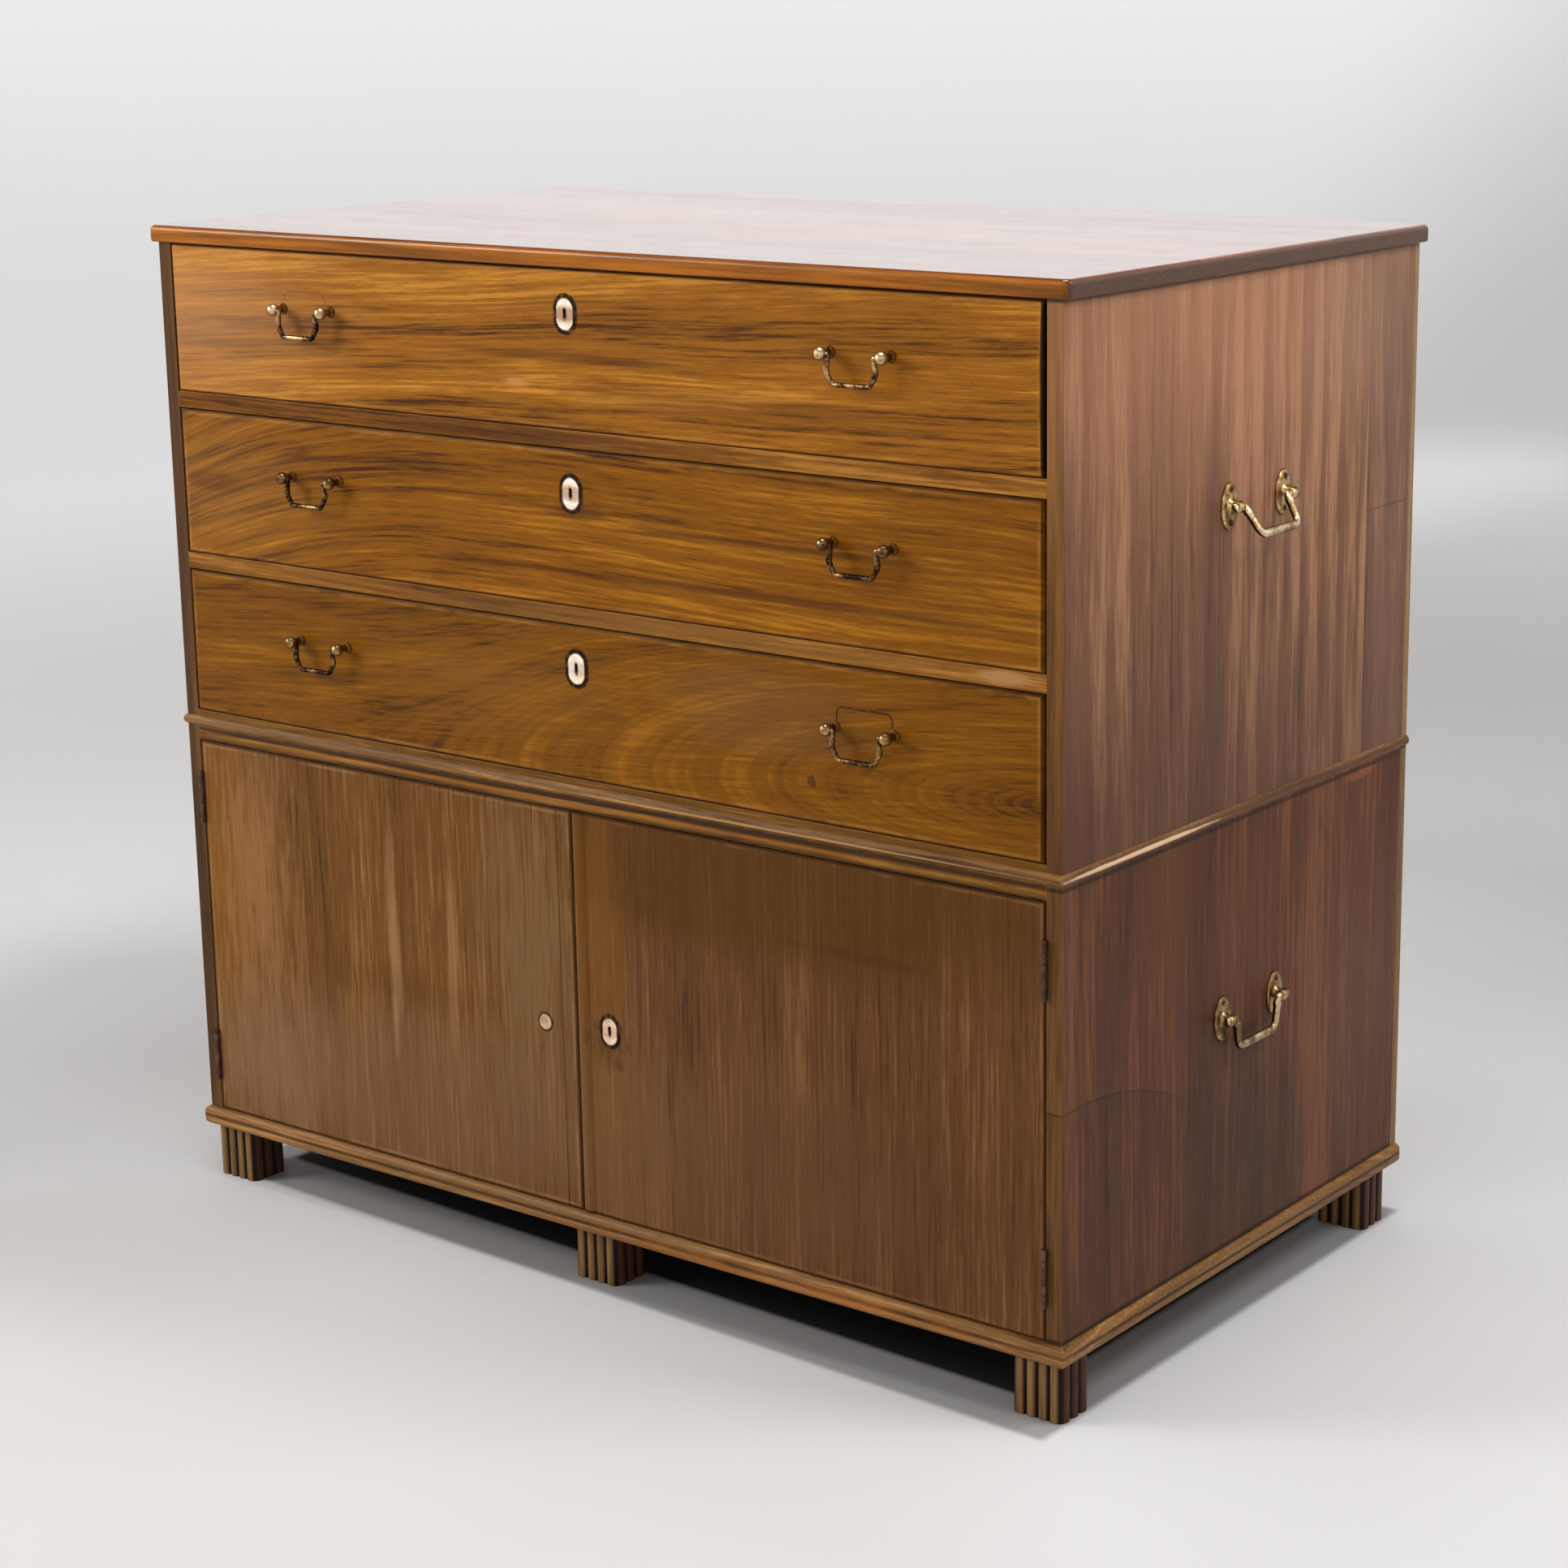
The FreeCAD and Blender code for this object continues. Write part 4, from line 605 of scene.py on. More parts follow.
dress(["top_board"], woodMaterial("topWood", dict(
    grain="xyz", start=(0.5, 0.2, 0), boards=(-0.09, 0.12), boardTones=(0, 0.1, -0.05), dark=(60, 26, 12),
    middle=(120, 62, 34), light=(166, 98, 60), heart=(-0.6, 0.1, 0, 0), broad=0.6, rough=0.2, shine=0.2,
    coat=1, coatRough=0.1, bump=0, specks=0, wear=0.15, frontEdge=(176, 102, 22),
    endGrain=(100, 72, 58), cloud=0.05)))

beadLook = dict(start=(0, 2, 0), dark=(78, 50, 22), middle=(126, 88, 46), light=(178, 128, 74), wear=0.7,
                wearRadius=0.0014, wearColour=(196, 146, 90), streak=1.8, fibre=1.2, broad=0.4)
beadLine = dict(uneven=0.9, soft=0.6, patch=(10, 30, 60))
dress(["waist_bead"], woodMaterial("waistWood", beadLook, dict(
    # painted shade on the run along the side
    spots=(spotAt((0.5, 0.1, 0.461), (0.009, 0.5, 0.03), 0.75, (66, 38, 22), uneven=0.2),
           # painted highlight along the side run
           spotAt((0.5, -0.17, 0.4605), (0.012, 0.16, 0.0028), 0.9, (236, 196, 160), uneven=0.5, soft=0.4,
                  patch=(10, 30, 60)),
           # a painted highlight along the front, then a line of painted shade
           spotAt((0.2, -0.278, 0.4595), (0.32, 0.012, 0.0016), 0.6, (206, 158, 108), **beadLine),
           spotAt((-0.1, -0.278, 0.4638), (0.6, 0.012, 0.0016), 0.5, (72, 42, 20), **beadLine)))))
dress(["base_bead"], woodMaterial("baseWood", beadLook, dict(
    # painted shade in the groove
    spots=(spotAt((0, 0, 0.0622), (4, 4, 0.0024), 0.75, (40, 20, 8), uneven=0.2),
           spotAt((0.2, -0.28, 0.058), (0.36, 0.05, 0.012), 0.45, (168, 100, 40), uneven=2.4,
                  patch=(24, 40, 60), soft=1),
           # painted shade on the run along the side
           spotAt((0.52, 0, 0.062), (0.02, 0.5, 0.03), 0.35, (74, 48, 28), uneven=0.2)))))

railLook = dict(streak=1.8, rough=0.42, wear=0.7, wearRadius=0.0016)
dress(["drawer_rails"], woodMaterial("railWood", railLook, dict(
    start=(3, 1, 0), dark=(64, 34, 8), middle=(122, 74, 18), light=(178, 120, 50), broad=0.5, fibre=1,
    shine=0.08, wearColour=(188, 134, 72),
    # the first spot is painted shade on the rail under the first drawer
    spots=(frontSpot(-0.05, 0.768, 0.22, 0.012, 0.5, (70, 36, 16)),
           frontSpot(0.1, 0.617, 0.6, 0.012, 0.3, (156, 112, 58), uneven=1.6),
           frontSpot(0.44, 0.617, 0.04, 0.008, 0.7, (178, 132, 84), uneven=1.2, patch=(40, 60, 60))))))
dress(["lower_top", "lower_bottom", "upper_bottom"], woodMaterial("waistRailWood", railLook, dict(
    start=(6, 1, 0), dark=(54, 30, 8), middle=(106, 68, 18), light=(158, 108, 44), broad=0.4, fibre=0.9,
    wearColour=(176, 126, 66),
    # painted shade under the bead
    spots=(frontSpot(0, 0.4538, 0.9, 0.0036, 0.8, (40, 20, 6), uneven=0.5, soft=0.4,
                     patch=(14, 40, 60)),
           frontSpot(0, 0.4485, 0.5, 0.0024, 0.5, (168, 106, 44), uneven=1.2, patch=(14, 40, 60)),
           # painted shade in the gap above the doors
           frontSpot(0, 0.4436, 0.9, 0.0016, 0.7, (34, 17, 5), uneven=0.3, soft=0.4)))))

# Feet, backs and the inside of the drawers

dress(["feet"], woodMaterial("footWood", dict(
    grain="zxy", start=(0.7, 0.3, 0.2), dark=(40, 22, 16), middle=(76, 46, 32), light=(116, 78, 50),
    frontEdge=(138, 102, 60), streak=1.6, fibre=1, rough=0.45, wear=0.3, wearRadius=0.0012,
    wearColour=(150, 112, 62), flankShade=(20, 9, 9))))

backLook = dict(
    grain="zxy", dark=(72, 50, 32), middle=(124, 94, 64), light=(160, 128, 92), ring=0.3, ringGap=0.011,
    heart=(0, 0.09, 0, 0), rough=0.65, wear=0.2, bump=0.5,
    spots=(spotAt((0, 0.28, 0.456), (2, 0.1, 0.0024), 0.8, (30, 18, 10), uneven=0.3),))
dress(["upper_back"], woodMaterial("upperBackWood", backLook, dict(
    start=(5, 0, 0), boards=(-0.33, -0.16, 0.01, 0.17, 0.34),
    boardTones=(0, 0.06, -0.04, 0.03, -0.05, 0.05))))
dress(["lower_back"], woodMaterial("lowerBackWood", backLook, dict(
    start=(7.3, 1.1, 0.4), boards=(-0.24, 0.02, 0.28), boardTones=(-0.04, 0.03, -0.07, 0.02))))

innerNodes = ["drawer_runners"] + [name for name in cadNodes if name.startswith("drawer_")
                                   and name.endswith(("_sides", "_back", "_bottom"))]
dress(innerNodes, woodMaterial("innerWood", dict(
    grain="yzx", start=(1, 4, 0), dark=(122, 84, 50), middle=(176, 132, 84), light=(206, 166, 116),
    ground=0.52, streak=0.5, ring=0.3, ringGap=0.008, rough=0.6, wear=0.25, poreDepth=0.35, bump=0.4)))
print("woods dressed")


# Metals and bone

brass = dict(bright=(232, 190, 112), dull=(120, 84, 40), patch=120, tarnish=0.5, rub=0.9, wearRadius=0.0006,
             roughBright=0.24, roughDull=0.5, metal=1, bump=0.15, inner=None, foot=None)
brownFoot = dict(start=0.004, end=0.0085, colour=(104, 68, 30))      # metres out from the front
paintedUndersideShade = dict(way=(-0.6, -0.5, -0.62), start=-0.02, end=0.32, colour=(36, 18, 8))
wireTarnish = dict(tarnish=0.56, patch=50)
metalLooks = dict(
    pommelBrass1=dict(bright=(248, 222, 176), dull=(182, 140, 92), roughBright=0.3, foot=brownFoot),
    pommelBrass2=dict(bright=(170, 136, 88), dull=(82, 56, 32), foot=brownFoot),
    pommelBrass3=dict(bright=(206, 166, 110), dull=(110, 78, 44), foot=brownFoot),
    wireBrass1=dict(bright=(216, 172, 118), dull=(38, 22, 12), **wireTarnish),
    wireBrass2=dict(bright=(180, 142, 92), dull=(38, 24, 15), **wireTarnish),
    wireBrass3=dict(bright=(176, 136, 84), dull=(38, 24, 15), **wireTarnish),
    upperPlateBrass=dict(bright=(246, 212, 150), dull=(150, 112, 62)),
    lowerPlateBrass=dict(bright=(204, 170, 118), dull=(116, 86, 50)),
    upperLiftBrass=dict(bright=(255, 232, 190), dull=(156, 114, 72), patch=60, tarnish=0.46, inner=paintedUndersideShade),
    lowerLiftBrass=dict(bright=(216, 188, 148), dull=(118, 88, 58), patch=60, tarnish=0.48, inner=paintedUndersideShade),
    screwBrass=dict(bright=(150, 116, 64), dull=(46, 32, 20), tarnish=0.58),
    hingeBrass=dict(bright=(112, 78, 46), dull=(62, 40, 24), tarnish=0.56, metal=0.4),
    lockBrass=dict(bright=(188, 150, 86), dull=(96, 70, 38), patch=60))


def metalMaterial(name, changes):
    # bright metal under a broken film of tarnish; the rounded edges are rubbed bright, hollows stay dark
    look = {**brass, **changes}
    material, g = newMaterial(name)
    place = g.place()
    x, y, _ = g.parts(place)
    film = g.noise(place, look["patch"], 5, 0.65)
    fine = g.noise(place, look["patch"] * 9, 3, 0.6)
    edge = g.group(edgeWear, {"Vector": place, "Radius": look["wearRadius"]})
    tarnish = g.between(g.swing(film, fine, 0.4), look["tarnish"] - 0.12, look["tarnish"] + 0.12)
    clean = g.most(tarnish, g.times(edge["Mask"], look["rub"]))
    colour = g.mix(clean, paint(*look["dull"]), paint(*look["bright"]))
    colour = g.stain(colour, g.between(fine, 0.3, 0.75), 0.25, look["dull"])
    # painted reflection: darker where the surface turns away from the eye, as a mirror of dark wood would be
    turning = g.add("LayerWeight", {"Blend": 0.5}, out=1)
    colour = g.mix(g.between(turning, 0.35, 0.85, 0, 0.9), colour, paint(34, 20, 10))
    if look["inner"]:
        # painted shade on the side towards the case and on the underside: way is (out from the case, back,
        # up)
        inner = look["inner"]
        nx, ny, nz = g.facing()
        out = g.times(nx, g.timesPlus(g.past(x, 0), 2, -1))
        faced = g.vector("DOT_PRODUCT", g.joined(out, ny, nz), inner["way"], out=1)
        paintedShadeMask = g.between(faced, inner["start"], inner["end"], 0, 0.95)
        colour = g.mix(paintedShadeMask, colour, paint(*inner["colour"]))
    if look["foot"]:
        # the part next to the wood is a dull brown
        foot = look["foot"]
        low = g.between(y, frontPlane - foot["start"], frontPlane - foot["end"])
        colour = g.mix(low, paint(*foot["colour"]), colour)
    rough = g.timesPlus(clean, look["roughBright"] - look["roughDull"], look["roughDull"])
    g.surface({"Base Color": colour, "Metallic": look["metal"], "Roughness": rough,
               "Normal": g.bump(look["bump"], 0.0003, fine, edge["Normal"])})
    return material


metals = {name: metalMaterial(name, changes) for name, changes in metalLooks.items()}

boneLooks = dict(boneWhite=((255, 250, 232), (238, 208, 172)), bonePink=((244, 214, 184), (204, 158, 124)),
                 boneTan=((206, 172, 134), (170, 130, 96)))
# X and Z of each escutcheon's middle, its size and how tan its flanks are
escutcheons = [(caseMiddle, drawerLow[number] + escutcheonUp, 1, tan)
               for number, tan in ((1, 0.9), (2, 0.75), (3, 0.4))] + [(*doorEscutcheon, 0.9, 0.5)]


def boneMaterial(name):
    # pale bone with long fine grain lines, yellowed in patches, dirt and painted shade where it meets the
    # wood
    bright, shade = boneLooks[name]
    material, g = newMaterial(name)
    place = g.place()
    lines = g.noise(g.scaled(place, (900, 900, 60)), 1, 3, 0.6)
    patch = g.noise(place, 90, 3, 0.5)
    colour = g.mix(g.between(patch, 0.35, 0.7), paint(*bright), paint(*shade))
    colour = g.stain(colour, g.between(lines, 0.6, 0.75), 0.45, (150, 112, 78))
    for x, z, half, tan in escutcheons:
        # tan flanks, then a dark slot in the middle: painted shade for the keyhole
        for wide, high, shown, amount in ((0.02, 0.0088, (178, 126, 84), tan),
                                          (0.0031, 0.0074, (40, 16, 8), 0.96)):
            mask = spotMask(g, place, dict(at=(x, frontPlane, z), size=(wide * half, 0.02, high * half),
                                           soft=0.5, uneven=0.5), (400, 400, 400))
            colour = g.stain(colour, mask, amount, shown)
        # dirt and painted shade in the gap round it
        ring = loopMask(g, place, (x, frontPlane, z), (0, 0.0043 * half), 0.0098 * half, 0.0014)
        colour = g.stain(colour, ring, 0.9, (40, 18, 8))
    edge = g.group(edgeWear, {"Vector": place, "Radius": 0.0004})
    # dirt and painted shade on the faces that turn away from the front
    _, ny, _ = g.facing()
    colour = g.stain(colour, g.between(g.size(ny), 0.93, 0.6), 0.9, (52, 28, 14))
    g.surface({"Base Color": colour, "Roughness": 0.34, "Normal": g.bump(0.2, 0.0002, lines, edge["Normal"]),
               "Coat Weight": 0.3, "Coat Roughness": 0.15})
    return material


dress([f"drawer_{number}_escutcheon" for number in drawerLow], boneMaterial("boneWhite"))
dress(["door_escutcheon"], boneMaterial("bonePink"))
dress(["left_door_button"], boneMaterial("boneTan"))
dress(["case_hinge_leaves", "left_door_hinge_leaves", "right_door_hinge_leaves"], metals["hingeBrass"])
dress([name for name in cadNodes if name.endswith(("_lock", "_lock_bolt"))], metals["lockBrass"])
for number in drawerLow:
    dress([f"drawer_{number}_bail_left", f"drawer_{number}_bail_right"], metals[f"wireBrass{number}"])
    dress([f"drawer_{number}_pommels"], metals[f"pommelBrass{number}"])
for case in platesZ:
    dress([f"{case}_handle_plates"], metals[f"{case}PlateBrass"])
    dress([f"{case}_bail_left", f"{case}_bail_right"], metals[f"{case}LiftBrass"])
print("metals and bone dressed")


# Meshes from whole arrays of points

def gridMesh(points):
    # quads between the rows of a grid whose columns close on themselves
    rows, columns = points.shape[:2]
    index = np.arange(rows * columns).reshape(rows, columns)
    beside = np.roll(index, -1, axis=1)
    faces = np.stack([index[:-1], beside[:-1], beside[1:], index[1:]], -1).reshape(-1, 4)
    return points.reshape(-1, 3), faces


def meshObject(name, shells, material, smooth=True):
    # one object of several closed grids of points; poles and seams are merged, faces turned outwards
    mesh = bpy.data.meshes.new(name)
    corners, faces, base = [], [], 0
    for points, quads in map(gridMesh, shells):
        corners.append(points)
        faces.append(quads + base)
        base += len(points)
    mesh.from_pydata(np.concatenate(corners).tolist(), [], np.concatenate(faces).tolist())
    work = bmesh.new()
    work.from_mesh(mesh)
    bmesh.ops.remove_doubles(work, verts=work.verts, dist=1e-6)
    bmesh.ops.dissolve_degenerate(work, dist=1e-7, edges=work.edges)
    bmesh.ops.recalc_face_normals(work, faces=work.faces)
    work.to_mesh(mesh)
    work.free()
    mesh.polygons.foreach_set("use_smooth", np.full(len(mesh.polygons), smooth))
    mesh.materials.append(material)
    made = bpy.data.objects.new(name, mesh)
    bpy.context.scene.collection.objects.link(made)
    return made


def circle(sides):
    # cosines and sines of angles evenly round a circle
    angle = np.arange(sides) * 2 * math.pi / sides
    return np.cos(angle), np.sin(angle)


def turned(profile, origin, axis, side, sides=32):
    # origin + axis * along + (side * cos + third * sin) * radius, for each (along, radius) of the profile
    along, radius = np.array(profile, float).T
    axis, side = np.array(axis, float), np.array(side, float)
    third = np.cross(axis, side)
    cos, sin = circle(sides)
    rounded = cos[:, None] * side + sin[:, None] * third
    return np.array(origin) + along[:, None, None] * axis + radius[:, None, None] * rounded


def plate(outline, levels, origin, across, up, out):
    # origin + outline * share + out * height, for each (share, height) of the levels; outline is on a plane
    flat = outline[:, :1] * np.array(across, float) + outline[:, 1:] * np.array(up, float)
    share, height = np.array(levels, float).T
    return np.array(origin) + share[:, None, None] * flat + height[:, None, None] * np.array(out, float)


def bentPath(corners, bends, count):
    # straight runs joined by circle arcs that touch both, then spaced evenly along their length
    corners = np.array(corners, float)
    run = np.diff(corners, axis=0)
    run /= np.linalg.norm(run, axis=1)[:, None]
    points = [corners[:1]]
    for corner, before, after, bend in zip(corners[1:-1], run[:-1], run[1:], bends):
        turn = math.acos(float(before @ after))
        inward = after - before * (before @ after)
        inward /= np.linalg.norm(inward)
        begin = corner - before * bend * math.tan(turn / 2)
        sweep = np.linspace(0, turn, 14)[:, None]
        points.append(begin + bend * (inward * (1 - np.cos(sweep)) + before * np.sin(sweep)))
    points = np.concatenate([*points, corners[-1:]])
    length = np.concatenate([[0], np.cumsum(np.linalg.norm(np.diff(points, axis=0), axis=1))])
    even = np.linspace(0, length[-1], count)
    return np.stack([np.interp(even, length, points[:, axis]) for axis in range(2)], 1), even / length[-1]


def sweptWire(path, radius, normal, sides, oval):
    # rings of the given radius, oval times as wide in the path's own plane, square to it, with rounded ends
    run = np.gradient(path, axis=0)
    run /= np.linalg.norm(run, axis=1)[:, None]
    fall = np.linspace(math.pi / 2, 0, 7)[:-1]
    first = path[0] - run[0] * radius[0] * np.sin(fall)[:, None]
    last = (path[-1] + run[-1] * radius[-1] * np.sin(fall)[:, None])[::-1]
    centre = np.concatenate([first, path, last])
    run = np.concatenate([np.repeat(run[:1], 6, 0), run, np.repeat(run[-1:], 6, 0)])
    size = np.concatenate([radius[0] * np.cos(fall), radius, (radius[-1] * np.cos(fall))[::-1]])
    size[[0, -1]] = 0
    beside = np.cross(run, normal) * oval
    cos, sin = circle(sides)
    ring = cos[None, :, None] * beside[:, None] + sin[None, :, None] * np.array(normal, float)
    return centre[:, None] + size[:, None, None] * ring


def slottedScrew(origin, out, across, turn, radius, rise):
    # a low domed head in two halves with a slot between them, over a disc that is the slot's floor
    out, across = np.array(out, float), np.array(across, float)
    slotWay = math.cos(turn) * across + math.sin(turn) * np.cross(out, across)
    square = np.cross(out, slotWay)
    slot = radius * 0.13
    disc = [(-0.4 * rise, 0), (-0.4 * rise, radius), (0.25 * rise, radius * 0.98), (0.3 * rise, 0)]
    rim = math.acos(slot / radius)
    arc = np.linspace(-rim, rim, 15)
    half = np.stack([np.cos(arc) * radius, np.sin(arc) * radius], 1)
    chord = np.stack([np.full(7, slot), np.linspace(half[-1, 1], half[0, 1], 9)[1:-1]], 1)
    middle = radius * 0.5
    outline = np.concatenate([half, chord]) - (middle, 0)
    levels = [(0, -0.2 * rise), (1, -0.2 * rise), (1, 0.45 * rise), (0.9, 0.75 * rise),
              (0.55, 0.95 * rise), (0, rise)]
    halves = [plate(outline, levels, np.array(origin) + sign * middle * square, sign * square,
                    sign * slotWay, out) for sign in (1, -1)]
    return [turned(disc, origin, out, across, 20), *halves]


def bailWire(fromEnd, pin, thick, at, wide, bar, barFrom, sharp):
    # pin + (thick - pin) * exp(-((fromEnd - at) / wide) ** 2)
    # + (bar - pin) / (1 + exp((barFrom - fromEnd) * sharp))
    swell = np.exp(-((fromEnd - at) / wide) ** 2)
    along = 1 / (1 + np.exp(-(fromEnd - barFrom) * sharp))
    return pin + (thick - pin) * swell + (bar - pin) * along


def bailMesh(name, look, origin, along, down, normal, node, material):
    # origin + along * path + down * drop: the half path and its mirror image, a wire swept along them
    half = [(look["pins"] + x, z) for x, z in look["path"]]
    corners = [(-x, z) for x, z in half] + half[::-1]
    path, share = bentPath(corners, look["bends"] + look["bends"][::-1], 150)
    wire = bailWire(np.minimum(share, 1 - share), **look["wire"])
    points = np.array(origin) + path[:, :1] * np.array(along) - path[:, 1:] * np.array(down)
    made = meshObject(name, [sweptWire(points, wire, normal, look["sides"], look["oval"])], material)
    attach(made, node)
    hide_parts(node)


# Handles on the drawers

# half of a swan neck as (along past the pin, up), thicker at the waist where it turns under to the bar
drawerBail = dict(pins=0.03, path=((0.0019, 0), (-0.0082, 0), (-0.0054, -0.013), (-0.0115, -0.0235)),
                  bends=(0.0021, 0.009, 0.0045), sides=24, oval=1,
                  wire=dict(pin=0.0018, thick=0.0026, at=0.2, wide=0.07, bar=0.0022, barFrom=0.3, sharp=60))
# the foot is (out from the front, radius): a small stepped rose and a waisted neck
pommel = dict(fromMiddle=0.309, standoff=0.013, ball=0.0055, button=0.0009, frontThick=0.018, nut=0.005,
              nutThick=0.003, shank=0.0024,
              foot=[(0, 0), (0, 0.0047), (0.0003, 0.005), (0.0009, 0.005), (0.0013, 0.0046),
                    (0.0015, 0.004), (0.0022, 0.0035), (0.003, 0.0031), (0.0045, 0.0028), (0.0062, 0.0028),
                    (0.0074, 0.003)])


def pommelShells(x, z):
    # foot, ball and a tiny button; inside the drawer a nut and the shank's end
    ball, stand, button = pommel["ball"], pommel["standoff"], pommel["button"]
    nut, thick, shank = pommel["nut"], pommel["nutThick"], pommel["shank"]
    around = np.linspace(0.62, math.pi - 0.25, 18)
    profile = pommel["foot"] + [(stand - ball * math.cos(a), ball * math.sin(a)) for a in around]
    profile += [(stand + ball * 0.975, button), (stand + ball, 0.0006), (stand + ball, 0)]
    inside = (x, frontPlane + pommel["frontThick"], z)
    hexagon = [(0, 0), (0, nut), (thick * 0.8, nut), (thick, nut * 0.86), (thick, 0)]
    end = [(0, 0), (0, shank), (thick + 0.0004, shank), (thick + 0.001, 0.0016), (thick + 0.0012, 0)]
    return [turned(profile, (x, frontPlane, z), (0, -1, 0), (1, 0, 0), 36),
            turned(hexagon, inside, (0, 1, 0), (1, 0, 0), 6),
            turned(end, inside, (0, 1, 0), (1, 0, 0), 16)]


for number, low in drawerLow.items():
    handleZ = low + handleUp
    shells = []
    for side, sign in (("left", -1), ("right", 1)):
        middle = caseMiddle + sign * pommel["fromMiddle"]
        for step in (-1, 1):
            shells += pommelShells(middle + step * drawerBail["pins"], handleZ)
        bailMesh(f"drawer{number}Bail{side.title()}", drawerBail,
                 (middle, frontPlane - pommel["standoff"], handleZ), (1, 0, 0), (0, 0, -1), (0, 1, 0),
                 f"drawer_{number}_bail_{side}", metals[f"wireBrass{number}"])
    made = meshObject(f"drawer{number}Pommels", shells, metals[f"pommelBrass{number}"])
    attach(made, f"drawer_{number}")
    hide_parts(f"drawer_{number}_pommels")
print("drawer handles made")


# Lifting handles on the sides

# half of a bail as (along past the plate's middle, up): a pin with a small collar, a slanting leg, the bar
liftBail = dict(pins=0.044, path=((0.0049, 0), (-0.0086, 0), (-0.0135, -0.027)), bends=(0.0046, 0.008),
                sides=28, oval=1.28, standoff=0.0095, swing=dict(upper=32, lower=0),
                wire=dict(pin=0.003, thick=0.0036, at=0.135, wide=0.02, bar=0.0032, barFrom=0.36, sharp=40))
# a plate with a rolled edge and a flared foot, as (share of the outline, height), and the barrel for the
# pin, as (along it, radius)
liftPlate = dict(
    plateHalf=(0.0125, 0.0195), footHalf=(0.0048, 0.005),
    plate=[(0, 0), (1, 0), (1, 0.0008), (0.985, 0.0015), (0.95, 0.0021), (0.9, 0.0024), (0.8, 0.0025),
           (0.5, 0.0025), (0, 0.0025)],
    foot=[(0, 0.001), (1.5, 0.001), (1.42, 0.0027), (1.2, 0.0034), (1.05, 0.0048), (1, 0.0066),
          (0.98, 0.0095), (0, 0.0095)],
    barrel=[(-0.005, 0), (-0.005, 0.0036), (-0.0046, 0.0044), (-0.0036, 0.0049), (0, 0.00498),
            (0.0036, 0.0049), (0.0046, 0.0044), (0.005, 0.0036), (0.005, 0)],
    screwUp=0.0138, screwOut=0.0024, screwRadius=0.0027, screwHigh=0.0007, screwTurns=(0.7, 1.9, 9))


def liftPlateShells(x, y, z, sign):
    # cos * half width and sin * half height, raised by the levels, then the barrel across the foot's top
    ways = (0, sign, 0), (0, 0, 1), (sign, 0, 0)
    raised = [plate(np.stack(circle(48), 1) * liftPlate[half], liftPlate[levels], (x, y, z), *ways)
              for half, levels in (("plateHalf", "plate"), ("footHalf", "foot"))]
    barrel = turned(liftPlate["barrel"], (x + sign * liftBail["standoff"], y, z), (0, 1, 0), (1, 0, 0))
    return [*raised, barrel]


for case, height in platesZ.items():
    shells, screws = [], []
    for side, sign in (("left", -1), ("right", 1)):
        face = caseMiddle + sign * caseHalf
        for step, y in zip((-1, 1), platesY):
            shells += liftPlateShells(face, y, height, sign)
            for up in (-1, 1):
                turn = float(np.dot(liftPlate["screwTurns"], (step, up, height)))
                centre = (face + sign * liftPlate["screwOut"], y, height + up * liftPlate["screwUp"])
                screws += slottedScrew(centre, (sign, 0, 0), (0, 1, 0), turn, liftPlate["screwRadius"],
                                       liftPlate["screwHigh"])
        swing = math.radians(liftBail["swing"][case]) if sign > 0 else 0
        bailMesh(f"{case}Bail{side.title()}", liftBail,
                 (face + sign * liftBail["standoff"], sum(platesY) / 2, height), (0, 1, 0),
                 (sign * math.sin(swing), 0, -math.cos(swing)), (math.cos(swing), 0, sign * math.sin(swing)),
                 f"{case}_bail_{side}", metals[f"{case}LiftBrass"])
    made = meshObject(f"{case}HandlePlates", shells, metals[f"{case}PlateBrass"])
    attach(made, f"{case}_case")
    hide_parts(f"{case}_handle_plates")
    heads = meshObject(f"{case}HandleScrews", screws, metals["screwBrass"], smooth=False)
    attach(heads, f"{case}_case")
print("lifting handles made")


# Studio

studio = dict(
    floorRadius=4.6, wallRadius=2.2, wallHigh=5, world=0.17, floorTone=0.588,
    # painted shade: a ring round the chest, between two distances, is a little darker, and the wall a little
    # lighter
    ringFrom=(0.9, 1.5), ringTo=(4.5, 1.8), ringShade=0.07, wallTone=(1.3, 2.6, 0.12),
    # the light of a white room, by distance, height and to the left: from, to, amount
    glows=dict(far=(2, 4.8, 0.2), low=(0.15, 1.3, 0.18), wall=(1.5, 3, 0.27), left=(-1, -1.5, 0.1)),
    # the corner at the back right is dimmer: X, X, Y and distance from, to
    corner=((-2.7, -1.7), (0.6, -0.8), (0, 3), (4.6, 5.2)), cornerFall=0.17,
    # painted light: the floor next to the case is lighter
    caseHalf=(0.5, 0.28), haloReach=0.3, haloHigh=0.1, haloGlow=0.085,
    # painted shadow under the case: black in the middle and grey in a band along the sides
    underSides=(0.505, 0.495), underFront=(0.286, 0.276), lean=-0.045, coreRight=(0.45, 0.439),
    coreLeft=(-0.476, -0.462), coreFront=(0.23, 0.219), coreShade=0.98, bandShade=0.45,
    # painted shade on the floor: middle, half size, softness and strength of each patch
    shades=(((-1, 0, 0), (0.42, 0.8, 1), 0.8, 0.2), ((0.2, 1.2, 0), (0.9, 0.75, 1), 0.8, 0.14),
            ((0.5, 0.6, 0), (0.4, 0.6, 1), 0.8, 0.07), ((-0.6, -0.47, 0), (0.5, 0.34, 1), 0.9, 0.17)))
